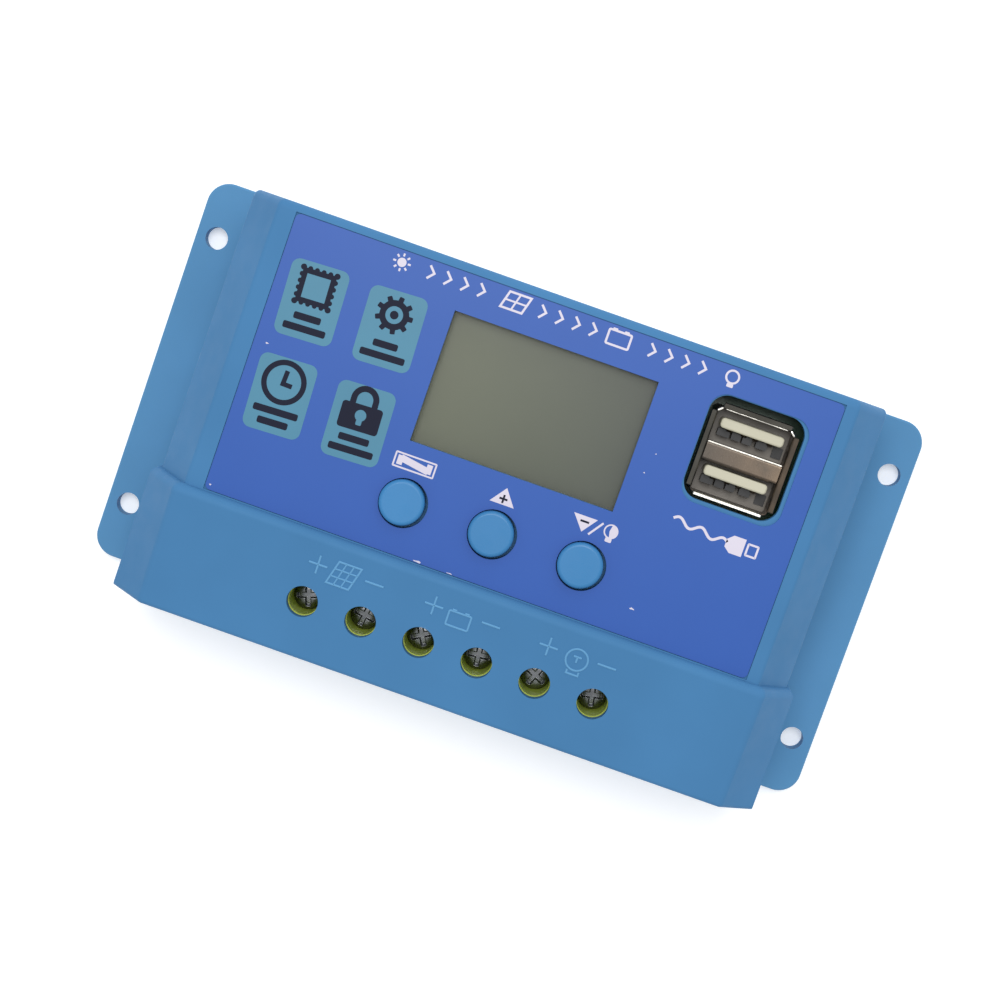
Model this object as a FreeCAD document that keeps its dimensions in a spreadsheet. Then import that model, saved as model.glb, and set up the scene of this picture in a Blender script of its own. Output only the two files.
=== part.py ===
"""Solar charge controller: a flanged plastic case with a label, a display, buttons and terminals.

Millimetres, +Z up, +X to the right and -Y towards the terminals. The origin is the centre of the
base's underside. Every size and place is read from the sheet named dims.
"""
import FreeCAD, Part
import os
import re

import Sketcher
from FreeCAD import Rotation, Vector

CASE = {
    "flange_length": 133.5, "flange_width": 70, "flange_thick": 3, "flange_corner": 4,
    "hole_pitch_x": 126, "hole_pitch_y": 50, "mount_hole": 4,
    "body_half": 55.8, "body_back": 35.6, "body_top": 33.4, "body_shoulder": 24.4, "rim_half": 50,
    "hood_half": 57.4, "hood_rim": 51.3, "hood_shoulder": 24.8, "hood_ridge": 35.2, "hood_nose": 32,
    "hood_back": 13.9, "hood_front": 35.6, "hood_round": 1.5, "back_round": 1.5, "edge_round": 0.8,
    "hood_side_round": 1.2,
    "wall": 2, "shoulder_drop": 0.6, "rim_inset": 1.1,
    "lip_wall": 1.5, "lip_gap": 0.3, "lip_tall": 3.5, "lip_side": 50, "lip_end": 88,
    "case_post_x": 51, "case_post_y": 30.6, "case_post_radius": 3.2, "case_post_low": 3.3,
    "case_post_top": 26, "pilot_radius": 1.5, "pilot_deep": 14,
    "case_screw_hole": 1.6, "case_screw_sink": 3.2, "sink_deep": 1.4,
    "case_screw_head": 2.8, "case_screw_head_low": 0.1, "case_screw_shank": 1.45, "case_screw_long": 13,
    "vent_wide": 2.2, "vent_long": 24, "vent_pitch": 5, "vent_y": 9,
}
FRONT = {
    "label_half": 47.4, "label_shift": 0.5, "label_front": -13.7, "label_back": 34.2,
    "label_recess": 0.4, "label_thick": 0.3, "label_corner": 1, "label_gap": 0.1,
    "panel_shift": 0.3, "window_wide": 35.2, "window_deep": 22.5, "window_y": 16.35,
    "pane_border": 1.2, "pane_thick": 0.8, "pane_gap": 0.1,
    "cell_wide": 37.6, "cell_deep": 25.4, "cell_thick": 1.1, "cell_ledge": 2.2, "cell_gap": 1.1,
    "backlight_thick": 3, "frame_wall": 1.5,
    "pin_pitch": 2, "pin_wide": 0.5, "pin_thick": 0.3, "pin_inset": 0.8,
    "button_pitch": 15.5, "button_y": -4.9, "cap_radius": 3.8, "cap_hole_radius": 4.15,
    "cap_play_x": 0.2, "cap_play_y": -0.1,
    "cap_proud": 1.5, "cap_flange_radius": 4.7, "cap_flange_low": 29.6, "cap_flange_thick": 1,
    "cap_stem_radius": 3.2, "cap_low": 24.4, "cap_bore_radius": 2.05, "cap_bore_deep": 2.6,
    "cap_round": 0.6,
    "switch_wide": 6.2, "switch_tall": 3.2, "switch_floor": 0.5, "switch_well": 2.5,
    "switch_cover_thick": 0.3, "switch_cover_hole": 1.95,
    "plunger_low": 1.4, "plunger_foot_radius": 2.2, "plunger_foot_tall": 0.6, "plunger_radius": 1.75,
    "plunger_tall": 5.6, "dome_radius": 2.1, "dome_rise": 0.45, "dome_thick": 0.12,
    "leg_wide": 0.7, "leg_thick": 0.3, "leg_long": 1, "leg_spread": 4.5,
}
SOCKETS = {
    "usb_x": 35.2, "usb_y": 19.9, "usb_cut_x": 35.2, "usb_cut_y": 20.5, "usb_cut_wide": 16.3,
    "usb_cut_deep": 17.8, "usb_cut_corner": 3, "usb_label_gap": 0.4, "usb_label_shift": 0.25,
    "shell_wide": 13.6, "shell_deep": 14.8, "shell_wall": 0.3, "shell_mouth": 31.6,
    "flare_out": 0.8, "flare_up": 0.8, "flare_short": 1.2,
    "divider_y": -0.2, "divider_deep": 3.3, "socket_floor": 24,
    "tongue_wide": 11, "tongue_thick": 1.7, "tongue_top": 31.2, "tongue_split": 8.2, "tongue_y": 0.85,
    "contact_wide": 1.1, "contact_thick": 0.25, "contact_top": 30.6, "contact_inner": 1, "contact_outer": 3.5,
}
TERMINALS = {
    "pole_pitch": 10.16, "terminal_y": -26, "driver_radius": 2.65,
    "housing_front": -33, "housing_back": -19.4, "housing_top": 26.4, "module_gap": 0.1,
    "well_wide": 8.4, "well_front": -31.4, "well_back": -20.2, "well_top": 22.8,
    "entry_wide": 6.6, "entry_low": 11, "entry_tall": 6.2, "mouth_wide": 7.4, "mouth_low": 10.6,
    "mouth_tall": 7.2, "shank_hole": 2.1, "chamber_radius": 2.55, "chamber_low": 23.4,
    "collar_radius": 3.5, "collar_top": 30.5,
    "screw_radius": 2, "screw_tip": 17.1, "screw_neck": 23.5, "screw_head_radius": 2.45,
    "screw_head_top": 25.3, "cross_long": 3.6, "cross_wide": 0.8, "cross_deep": 0.9,
    "cage_wide": 7.2, "cage_deep": 7, "cage_low": 10.8, "cage_tall": 8.1, "cage_window": 5.4,
    "cage_floor": 1, "cage_roof": 1.8, "cage_hole": 2.06,
    "bar_wide": 4.6, "bar_thick": 1, "bar_top": 17, "bar_front": -30.8, "bar_back": -20.6,
    "bar_foot": 5.5, "bar_slot": 0.3,
}
BOARDS = {
    "board_low": 7, "board_thick": 1.6, "board_half": 52.5, "board_front": -32.8, "board_back": 32,
    "notch_x": 9.8, "notch_y": 6, "post_x": 48, "post_back": 12, "post_front": -22,
    "post_radius": 3, "post_pilot": 1.3, "post_hole": 1.7,
    "panel_board_low": 18.4, "panel_board_left": -27, "panel_board_right": 45.5,
    "panel_board_front": -11.8, "panel_board_back": 31,
    "spacer_radius": 2.5, "spacer_bore": 1.3, "spacer_hole": 1.5, "spacer_left": -24,
    "spacer_back_right": 23.2, "spacer_front_right": 42.5, "spacer_back": 28, "spacer_front": -9,
    "small_head": 2.3, "small_head_tall": 1.6, "small_shank": 1.2, "small_shank_long": 5.5,
    "sink_half": 46, "sink_thick": 2, "sink_front": -14.5, "sink_low": 9, "sink_top": 28,
    "mosfet_pitch": 22, "mosfet_wide": 10, "mosfet_low": 12.6, "mosfet_tall": 9, "mosfet_deep": 3.1,
    "tab_thick": 1.3, "tab_tall": 15.4, "tab_hole_up": 12.6, "tab_hole": 1.6,
    "lead_wide": 0.8, "lead_thick": 0.5, "lead_pitch": 2.54,
    "sink_screw_radius": 1.45, "sink_screw_long": 6, "sink_screw_head": 2.7, "sink_screw_head_tall": 2,
    "can_x": -37.5, "can_back": 22, "can_front": 6, "can_radius": 6.3, "can_tall": 21,
    "choke_x": 32, "choke_y": 8, "choke_radius": 6, "choke_tall": 7, "choke_rim": 1.2,
    "choke_core_radius": 3, "choke_gap": 0.1, "coil_radius": 5.4,
    "shunt_leg": 1.2, "shunt_bar": 1.2,
    "chip_pitch": 4,
}
# Each loose part on a board: middle in x and y, then its x, y and z sizes.
POWER_PARTS = {
    "regulator_chip": (14, 12, 5, 4, 1.5),
    "shunt_resistor": (-12, 22, 16, 1.2, 6),
    "board_socket": (2, 28, 20.3, 2.5, 8.5),
}
PANEL_PARTS = {
    "microcontroller": (4, 17, 7, 7, 1.4),
    "crystal": (-9, 17, 10, 4, 3.4),
}
DIODE_SIZE = {
    "diode_wide": 7, "diode_deep": 6, "diode_tall": 2.3, "diode_x": -10, "diode_y": 8, "diode_pitch": 9,
}
CHIP_SIZE = {"tiny_wide": 2, "tiny_deep": 1.25, "tiny_tall": 0.6, "tiny_x": 12, "tiny_y": 20}
BUTTONS = {"mode": -1, "up": 0, "down": 1}
POLES = range(6)

doc = FreeCAD.newDocument("charge_controller")
sheet = doc.addObject("Spreadsheet::Sheet", "dims")
nodes = []


def part_table(parts):
    """The sheet's names and numbers for a table of loose board parts."""
    keys = ("x", "y", "wide", "deep", "tall")
    return {f"{name}_{key}": number for name, row in parts.items() for key, number in zip(keys, row)}


DIMENSIONS = {
    **CASE, **FRONT, **SOCKETS, **TERMINALS, **BOARDS, **DIODE_SIZE, **CHIP_SIZE,
    **part_table(POWER_PARTS), **part_table(PANEL_PARTS),
}


def fill_sheet():
    """Name, number: one row for each driving dimension."""
    for row, (alias, number) in enumerate(DIMENSIONS.items(), 1):
        sheet.set(f"A{row}", alias)
        sheet.set(f"B{row}", str(number))
        sheet.setAlias(f"B{row}", alias)
    doc.recompute()


def tied(words):
    """An expression in which each dimension's name is read from the sheet."""
    return re.sub(r"[a-z_]+", lambda found: f"dims.{found[0]}" if found[0] in DIMENSIONS else found[0], str(words))


def number(words):
    """What such an expression is worth now."""
    return float(sheet.evalExpression(tied(words)))


def tie(thing, **properties):
    for name, words in properties.items():
        thing.setExpression(name, tied(words))


def put(thing, x, y, z):
    """Put a thing's own origin at x, y, z."""
    for axis, words in zip("xyz", (x, y, z)):
        thing.setExpression(f"Placement.Base.{axis}", tied(words))


def keep(thing, label):
    """Make a finished thing one of the nodes that are written out."""
    thing.Label = label
    nodes.append(thing)
    return thing


# ---- Part primitives and booleans

def block(x, y, low, wide, deep, tall):
    """A box: its middle in x and y, its lowest z, and its sizes."""
    box = doc.addObject("Part::Box", "block")
    tie(box, Length=wide, Width=deep, Height=tall)
    put(box, f"({x}) - ({wide}) / 2", f"({y}) - ({deep}) / 2", low)
    return box


def slab(left, right, front, back, low, top):
    """A box from its six faces."""
    box = doc.addObject("Part::Box", "slab")
    tie(box, Length=f"({right}) - ({left})", Width=f"({back}) - ({front})", Height=f"({top}) - ({low})")
    put(box, left, front, low)
    return box


def rod(x, y, low, radius, tall):
    """An upright cylinder."""
    cylinder = doc.addObject("Part::Cylinder", "rod")
    tie(cylinder, Radius=radius, Height=tall)
    put(cylinder, x, y, low)
    return cylinder


def level_rod(x, front, z, radius, long):
    """A cylinder lying along +Y from its front end."""
    cylinder = doc.addObject("Part::Cylinder", "level_rod")
    cylinder.Placement.Rotation = Rotation(Vector(1, 0, 0), -90)
    tie(cylinder, Radius=radius, Height=long)
    put(cylinder, x, front, z)
    return cylinder


def fuse(*things):
    if len(things) == 1:
        return things[0]
    joined = doc.addObject("Part::MultiFuse", "fuse")
    joined.Shapes = list(things)
    return joined


def cut(base, *tools):
    less = doc.addObject("Part::Cut", "cut")
    less.Base = base
    less.Tool = fuse(*tools)
    return less


def group(things):
    """Separate solids that share one node."""
    together = doc.addObject("Part::Compound", "group")
    together.Links = list(things)
    return together


# ---- PartDesign bodies

def new_body(name):
    return doc.addObject("PartDesign::Body", name)


def new_sketch(body, role, offset):
    """A sketch on one of the body's own origin planes, moved along that plane's normal."""
    sketch = body.newObject("Sketcher::SketchObject", "outline")
    plane = next(feature for feature in body.Origin.OriginFeatures if feature.Role == role)
    sketch.AttachmentSupport = (plane, [""])
    sketch.MapMode = "FlatFace"
    sketch.setExpression("AttachmentOffset.Base.z", tied(offset))
    return sketch


def constrain(sketch, kind, *where, words):
    """A dimension of the sketch that follows an expression."""
    index = sketch.addConstraint(Sketcher.Constraint(kind, *where, number(words)))
    sketch.setExpression(f"Constraints[{index}]", tied(words))


def pin_point(sketch, edge, end, x, y):
    constrain(sketch, "DistanceX", -1, 1, edge, end, words=x)
    constrain(sketch, "DistanceY", -1, 1, edge, end, words=y)


def polygon(sketch, corners):
    """A closed outline through the corners, each an x and a y in the sketch."""
    places = [Vector(number(x), number(y), 0) for x, y in corners]
    edges = [
        sketch.addGeometry(Part.LineSegment(start, end), False)
        for start, end in zip(places, places[1:] + places[:1])
    ]
    for edge, follower, (x, y) in zip(edges, edges[1:] + edges[:1], corners):
        sketch.addConstraint(Sketcher.Constraint("Coincident", edge, 2, follower, 1))
        pin_point(sketch, edge, 1, x, y)


def rectangle(sketch, x, y, wide, deep):
    """A rectangle about its middle."""
    left, right = f"({x}) - ({wide}) / 2", f"({x}) + ({wide}) / 2"
    front, back = f"({y}) - ({deep}) / 2", f"({y}) + ({deep}) / 2"
    polygon(sketch, ((left, front), (right, front), (right, back), (left, back)))


def circle(sketch, x, y, radius):
    edge = sketch.addGeometry(Part.Circle(Vector(number(x), number(y), 0), Vector(0, 0, 1), number(radius)), False)
    pin_point(sketch, edge, 3, x, y)
    constrain(sketch, "Radius", edge, words=radius)


def circles(sketch, places, radius):
    for x, y in places:
        circle(sketch, x, y, radius)


def corners_of(x, y):
    """The four places at plus and minus x and y."""
    return [(f"{side} * ({x})", f"{end} * ({y})") for side in (-1, 1) for end in (-1, 1)]


def pad(body, sketch, length, **options):
    feature = body.newObject("PartDesign::Pad", "pad")
    feature.Profile = sketch
    tie(feature, Length=length)
    for name, option in options.items():
        setattr(feature, name, option)
    sketch.Visibility = False
    return feature


def pocket(body, sketch, length, **options):
    feature = body.newObject("PartDesign::Pocket", "pocket")
    feature.Profile = sketch
    tie(feature, Length=length)
    for name, option in options.items():
        setattr(feature, name, option)
    sketch.Visibility = False
    return feature


def revolve(body, sketch):
    """A full turn of the outline about the sketch's upright axis."""
    feature = body.newObject("PartDesign::Revolution", "revolution")
    feature.Profile = sketch
    feature.ReferenceAxis = (sketch, ["V_Axis"])
    feature.Angle = 360
    return feature


def round_edges(body, radius, wanted):
    """Fillet the tip's edges whose two ends and middle all pass the test wanted(point)."""
    doc.recompute()
    base = body.Tip
    names = []
    for count, edge in enumerate(base.Shape.Edges, 1):
        middle = edge.valueAt((edge.FirstParameter + edge.LastParameter) / 2)
        points = [vertex.Point for vertex in edge.Vertexes] + [middle]
        if all(wanted(point) for point in points):
            names.append(f"Edge{count}")
    fillet = body.newObject("PartDesign::Fillet", "fillet")
    fillet.Base = (base, names)
    tie(fillet, Radius=radius)
    return fillet


def near(first, second, room=0.01):
    return abs(first - second) < room


def upright_at(x, y, wide, deep):
    """A test for points above the corners of a rectangle about its middle."""
    x, y, half_wide, half_deep = number(x), number(y), number(wide) / 2, number(deep) / 2
    return lambda point: near(abs(point.x - x), half_wide) and near(abs(point.y - y), half_deep)


# ---- Case

def make_base_plate():
    """Flanged floor with locating lips, board posts, case screw holes and vent slots."""
    body = new_body("base_plate")
    floor = new_sketch(body, "XY_Plane", 0)
    rectangle(floor, 0, 0, "flange_length", "flange_width")
    pad(body, floor, "flange_thick")
    round_edges(body, "flange_corner", upright_at("0", "0", "flange_length", "flange_width"))
    flange_top = number("flange_thick")
    round_edges(body, "edge_round / 2", lambda p: near(p.z, flange_top))

    lips = new_sketch(body, "XY_Plane", "flange_thick")
    side_x = "body_half - wall - lip_gap - lip_wall / 2"
    end_y = "body_back - wall - lip_gap - lip_wall / 2"
    for side in (-1, 1):
        rectangle(lips, f"{side} * ({side_x})", 0, "lip_wall", "lip_side")
        rectangle(lips, 0, f"{side} * ({end_y})", "lip_end", "lip_wall")
    pad(body, lips, "lip_tall")

    posts = new_sketch(body, "XY_Plane", "flange_thick")
    circles(posts, board_posts(), "post_radius")
    pad(body, posts, "board_low - flange_thick")
    pilots = new_sketch(body, "XY_Plane", "board_low")
    circles(pilots, board_posts(), "post_pilot")
    pocket(body, pilots, "board_low - flange_thick")

    holes = new_sketch(body, "XY_Plane", "flange_thick")
    circles(holes, corners_of("hole_pitch_x / 2", "hole_pitch_y / 2"), "mount_hole / 2")
    circles(holes, corners_of("case_post_x", "case_post_y"), "case_screw_hole")
    for step in range(-4, 5):
        rectangle(holes, f"{step} * vent_pitch", "vent_y", "vent_wide", "vent_long")
    pocket(body, holes, "flange_thick")

    sinks = new_sketch(body, "XY_Plane", 0)
    circles(sinks, corners_of("case_post_x", "case_post_y"), "case_screw_sink")
    pocket(body, sinks, "sink_deep", Reversed=True)
    return keep(body, "base_plate")


def board_posts():
    """Where the power board is screwed down."""
    return [(f"{side} * post_x", y) for side in (-1, 1) for y in ("post_back", "post_front")]


def arch(half, shoulder, rim, top):
    """A case section: upright sides from the seam, a chamfer, and a flat top."""
    return (
        (f"-({half})", "flange_thick"), (f"-({half})", shoulder), (f"-({rim})", top),
        (rim, top), (half, shoulder), (half, "flange_thick"),
    )


def make_top_cover():
    """Chamfered shell with the label recess, and the raised hood over the terminals."""
    body = new_body("top_cover")
    outside = new_sketch(body, "XZ_Plane", "-body_back")
    polygon(outside, arch("body_half", "body_shoulder", "rim_half", "body_top"))
    pad(body, outside, "body_back + hood_back")

    ridge = new_sketch(body, "XZ_Plane", "hood_back")
    polygon(ridge, arch("hood_half", "hood_shoulder", "hood_rim", "hood_ridge"))
    nose = new_sketch(body, "XZ_Plane", "hood_front")
    polygon(nose, arch("hood_half", "hood_shoulder", "hood_rim", "hood_nose"))
    hood = body.newObject("PartDesign::AdditiveLoft", "hood")
    hood.Profile = ridge
    hood.Sections = [nose]
    hood.Ruled = True

    round_case_edges(body)
    hollow_case(body)
    open_case(body)
    add_case_posts(body)
    return keep(body, "top_cover")


def round_case_edges(body):
    """Soft moulded edges: the hood's ridge and front, the back edge and the long chamfer edges."""
    hood_front, body_back, shoulder = (number(name) for name in ("-hood_front", "body_back", "body_shoulder"))
    round_edges(body, "hood_side_round", is_hood_side)
    round_edges(body, "hood_round", is_hood_outline)
    round_edges(body, "back_round", lambda p: near(p.y, body_back) and p.z > shoulder - 0.1)
    round_edges(body, "edge_round", lambda p: near(p.y, hood_front) and p.z > shoulder)
    long_edge = (shoulder - 0.1, number("hood_back"))
    round_edges(body, "edge_round", lambda p: is_long_edge(p, long_edge[0], long_edge[1]))


def is_hood_side(point):
    """On one of the two sloping edges between the hood's top and its chamfers."""
    share = (point.y + number("hood_back")) / number("hood_back - hood_front")
    height = number("hood_ridge") - share * number("hood_ridge - hood_nose")
    return near(abs(point.x), number("hood_rim")) and near(point.z, height)


def is_hood_outline(point):
    """On the hood's outline where it stands proud of the body: its top, chamfers and upright sides."""
    rise = number("(hood_half - hood_rim) / (hood_ridge - hood_shoulder)")
    chamfer = number("hood_half") - max(point.z - number("hood_shoulder"), 0) * rise
    over_top = point.z > number("body_top") + 0.1
    return near(point.y, -number("hood_back")) and (over_top or near(abs(point.x), chamfer))


def is_long_edge(point, lowest, hood_back):
    """On one of the edges that run front to back behind the hood, at the shoulder or the rim."""
    side = abs(point.x)
    at_rim = near(side, number("rim_half")) and near(point.z, number("body_top"))
    at_shoulder = near(side, number("body_half")) and near(point.z, number("body_shoulder"))
    return (at_rim or at_shoulder) and point.y > -hood_back - 1.6 and point.z > lowest


def hood_ceiling(forward):
    """Height one wall under the hood's sloping top, at a distance in front of the middle."""
    slope = "(hood_ridge - hood_nose) / (hood_front - hood_back)"
    return f"hood_nose - wall + {slope} * (hood_front - ({forward}))"


def hollow_case(body):
    """Take out the inside: the room under the label, then the lower room under the hood."""
    main_room = new_sketch(body, "XZ_Plane", "hood_back + wall")
    half = "body_half - wall"
    shoulder = "body_shoulder - shoulder_drop"
    polygon(main_room, arch(half, shoulder, "rim_half - rim_inset", "body_top - wall"))
    pocket(body, main_room, "hood_back + body_back")
    back_room = new_sketch(body, "XZ_Plane", "hood_back + wall")
    polygon(back_room, arch(half, shoulder, "hood_rim - rim_inset", hood_ceiling("hood_back + wall")))
    front_room = new_sketch(body, "XZ_Plane", "hood_front - wall")
    polygon(front_room, arch(half, shoulder, "hood_rim - rim_inset", hood_ceiling("hood_front - wall")))
    hood_room = body.newObject("PartDesign::SubtractiveLoft", "hood_room")
    hood_room.Profile = back_room
    hood_room.Sections = [front_room]
    hood_room.Ruled = True


def open_case(body):
    """Label recess, window and its ledge, socket and button openings, driver holes, wire entries."""
    recess = new_sketch(body, "XY_Plane", "body_top")
    rectangle(recess, *label_box("0"))
    pocket(body, recess, "label_recess")
    ledge = new_sketch(body, "XY_Plane", "body_top")
    grown = "2 * pane_border + 2 * pane_gap"
    rectangle(ledge, "panel_shift", "window_y", f"window_wide + {grown}", f"window_deep + {grown}")
    pocket(body, ledge, "label_recess + pane_thick")

    through = new_sketch(body, "XY_Plane", "body_top")
    rectangle(through, "panel_shift", "window_y", "window_wide + pane_gap", "window_deep + pane_gap")
    circles(through, button_holes(), "cap_hole_radius")
    pocket(body, through, "wall * 2")
    socket = new_sketch(body, "XY_Plane", "body_top")
    rectangle(socket, *usb_opening())
    pocket(body, socket, "wall * 2")
    round_edges(body, "usb_cut_corner", upright_at(*usb_opening()))

    drivers = new_sketch(body, "XY_Plane", "hood_ridge")
    circles(drivers, [(pole_x(pole), "terminal_y") for pole in POLES], "driver_radius")
    pocket(body, drivers, "2 * wall + hood_ridge - hood_nose")
    mouths = new_sketch(body, "XZ_Plane", "hood_front")
    for pole in POLES:
        rectangle(mouths, pole_x(pole), "mouth_low + mouth_tall / 2", "mouth_wide", "mouth_tall")
    pocket(body, mouths, "wall")


def add_case_posts(body):
    """Four posts for the case screws, grown into the side and end walls."""
    posts = new_sketch(body, "XY_Plane", "case_post_low")
    circles(posts, corners_of("case_post_x", "case_post_y"), "case_post_radius")
    pad(body, posts, "case_post_top - case_post_low")
    pilots = new_sketch(body, "XY_Plane", "case_post_low")
    circles(pilots, corners_of("case_post_x", "case_post_y"), "pilot_radius")
    pocket(body, pilots, "pilot_deep", Reversed=True)


def make_case_screws():
    """Four self-tapping screws, heads sunk in the base's underside."""
    screws = [
        fuse(
            rod(x, y, "case_screw_head_low", "case_screw_head", "sink_deep - case_screw_head_low"),
            rod(x, y, "sink_deep", "case_screw_shank", "case_screw_long"),
        )
        for x, y in corners_of("case_post_x", "case_post_y")
    ]
    return keep(group(screws), "case_screws")


# ---- Label and display

def label_box(gap):
    """The label's rectangle, taken in all round by a gap: its middle and its sizes."""
    wide, deep = f"2 * label_half - 2 * ({gap})", f"label_back - label_front - 2 * ({gap})"
    return "label_shift", "(label_front + label_back) / 2", wide, deep


def usb_opening():
    """The cover's opening round both USB ports: its middle and its sizes."""
    return "usb_cut_x", "usb_cut_y", "usb_cut_wide", "usb_cut_deep"


def label_usb_opening():
    """The label's own opening there, wider all round and cut a little to the right and the front."""
    middle = "usb_cut_x + usb_label_shift", "usb_cut_y - usb_label_shift"
    return *middle, "usb_cut_wide + 2 * usb_label_gap", "usb_cut_deep + 2 * usb_label_gap"


def make_front_label():
    """Printed plastic sheet with openings for the window, the buttons and the sockets."""
    body = new_body("front_label")
    outline = new_sketch(body, "XY_Plane", "body_top - label_recess")
    rectangle(outline, *label_box("label_gap"))
    pad(body, outline, "label_thick")
    round_edges(body, "label_corner", upright_at(*label_box("label_gap")))
    openings = new_sketch(body, "XY_Plane", "body_top - label_recess + label_thick")
    rectangle(openings, "panel_shift", "window_y", "window_wide", "window_deep")
    circles(openings, button_holes(), "cap_hole_radius")
    pocket(body, openings, "label_thick")
    socket = new_sketch(body, "XY_Plane", "body_top - label_recess + label_thick")
    rectangle(socket, *label_usb_opening())
    pocket(body, socket, "label_thick")
    round_edges(body, "usb_cut_corner", upright_at(*label_usb_opening()))
    return keep(body, "front_label")


def cell_top():
    """Height of the display cell's upper face."""
    return "body_top - wall - cell_gap"


def make_display():
    """Clear pane on the cover's ledge, and under it the two glass plates, backlight, frame and pins."""
    low = "body_top - label_recess - pane_thick"
    wide, deep = "window_wide + 2 * pane_border", "window_deep + 2 * pane_border"
    keep(block("panel_shift", "window_y", low, wide, deep, "pane_thick"), "display_window")

    left, right = "panel_shift - cell_wide / 2", "panel_shift + cell_wide / 2"
    front, back = "window_y - cell_deep / 2", "window_y + cell_deep / 2"
    front_glass = slab(left, right, front, back, f"{cell_top()} - cell_thick", cell_top())
    keep(front_glass, "lcd_front_glass")
    rear_top, rear_low = f"{cell_top()} - cell_thick", f"{cell_top()} - 2 * cell_thick"
    keep(slab(left, right, f"{front} - cell_ledge", back, rear_low, rear_top), "lcd_rear_glass")
    light_low = f"{rear_low} - backlight_thick"
    keep(slab(left, right, front, back, light_low, rear_low), "lcd_backlight")

    panel_top = "panel_board_low + board_thick"
    frame = cut(
        slab(left, right, front, back, panel_top, light_low),
        slab(
            f"{left} + frame_wall", f"{right} - frame_wall", f"{front} + frame_wall",
            f"{back} - frame_wall", panel_top, light_low,
        ),
    )
    keep(frame, "lcd_frame")
    pins = [
        block(
            f"panel_shift + {step} * pin_pitch + pin_pitch / 2", f"{front} - cell_ledge + pin_inset",
            panel_top, "pin_wide", "pin_thick", f"{rear_low} - ({panel_top})",
        )
        for step in range(-8, 8)
    ]
    keep(group(pins), "lcd_pins")


# ---- Buttons

def button_x(place):
    return f"panel_shift + {place} * button_pitch"


def button_holes():
    """Middles of the holes: the caps lie to one side in them, by their play."""
    return [(f"{button_x(place)} + cap_play_x", "button_y + cap_play_y") for place in BUTTONS.values()]


def make_turned(name, outline, x, y, low):
    """A turned piece from its half section, radius by height, set upright at x, y, low."""
    body = new_body(name)
    section = new_sketch(body, "XZ_Plane", 0)
    polygon(section, outline)
    revolve(body, section)
    put(body, x, y, low)
    return body


def make_button(name, place):
    """One cap on its switch plunger."""
    top = "body_top - label_recess + label_thick + cap_proud - cap_low"
    flange_low, flange_top = "cap_flange_low - cap_low", "cap_flange_low + cap_flange_thick - cap_low"
    outline = (
        ("cap_bore_radius", 0), ("cap_stem_radius", 0), ("cap_stem_radius", flange_low),
        ("cap_flange_radius", flange_low), ("cap_flange_radius", flange_top),
        ("cap_radius", flange_top), ("cap_radius", top), (0, top),
        (0, "cap_bore_deep"), ("cap_bore_radius", "cap_bore_deep"),
    )
    cap = make_turned(f"cap_{name}", outline, button_x(place), "button_y", "cap_low")
    crown = number(top)
    round_edges(cap, "cap_round", lambda p: near(p.z, crown))
    keep(cap, f"button_cap_{name}")

    foot = "plunger_foot_tall"
    outline = (
        (0, 0), ("plunger_foot_radius", 0), ("plunger_foot_radius", foot),
        ("plunger_radius", foot), ("plunger_radius", "plunger_tall"), (0, "plunger_tall"),
    )
    low = "panel_board_low + board_thick + plunger_low"
    keep(make_turned(f"stem_{name}", outline, button_x(place), "button_y", low), f"plunger_{name}")


def make_switches():
    """The fixed parts of the three tact switches: housings, steel covers, legs and snap domes."""
    low = "panel_board_low + board_thick"
    housings, covers, legs, domes = [], [], [], []
    for place in BUTTONS.values():
        x = button_x(place)
        outer = block(x, "button_y", low, "switch_wide", "switch_wide", "switch_tall")
        well = rod(x, "button_y", f"{low} + switch_floor", "switch_well", "switch_tall")
        housings.append(cut(outer, well))
        sheet_low = f"{low} + switch_tall"
        lid = block(x, "button_y", sheet_low, "switch_wide", "switch_wide", "switch_cover_thick")
        covers.append(cut(lid, rod(x, "button_y", sheet_low, "switch_cover_hole", "switch_cover_thick")))
        for side in (-1, 1):
            for end in (-1, 1):
                leg_x = f"{x} + {side} * (switch_wide + leg_long) / 2"
                leg_y = f"button_y + {end} * leg_spread / 2"
                legs.append(block(leg_x, leg_y, low, "leg_long", "leg_wide", "leg_thick"))
        domes.append(make_dome(x, f"{low} + switch_floor"))
    keep(group(housings), "switch_housings")
    keep(group(covers), "switch_covers")
    keep(group(legs), "switch_legs")
    keep(group(domes), "switch_domes")


def make_dome(x, low):
    """A thin cap of a sphere: radius (half width squared + rise squared) / twice the rise."""
    radius, rise = "dome_radius", "dome_rise"
    sphere = f"({radius} * {radius} + {rise} * {rise}) / (2 * {rise})"
    outer, inner = doc.addObject("Part::Sphere", "ball"), doc.addObject("Part::Sphere", "ball")
    tie(outer, Radius=sphere)
    tie(inner, Radius=f"{sphere} - dome_thick")
    for ball in (outer, inner):
        put(ball, x, "button_y", f"{low} + dome_rise - ({sphere})")
    shell = cut(outer, inner)
    common = doc.addObject("Part::MultiCommon", "dome")
    common.Shapes = [shell, rod(x, "button_y", low, "dome_radius", "dome_rise")]
    return common


# ---- USB sockets

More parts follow.
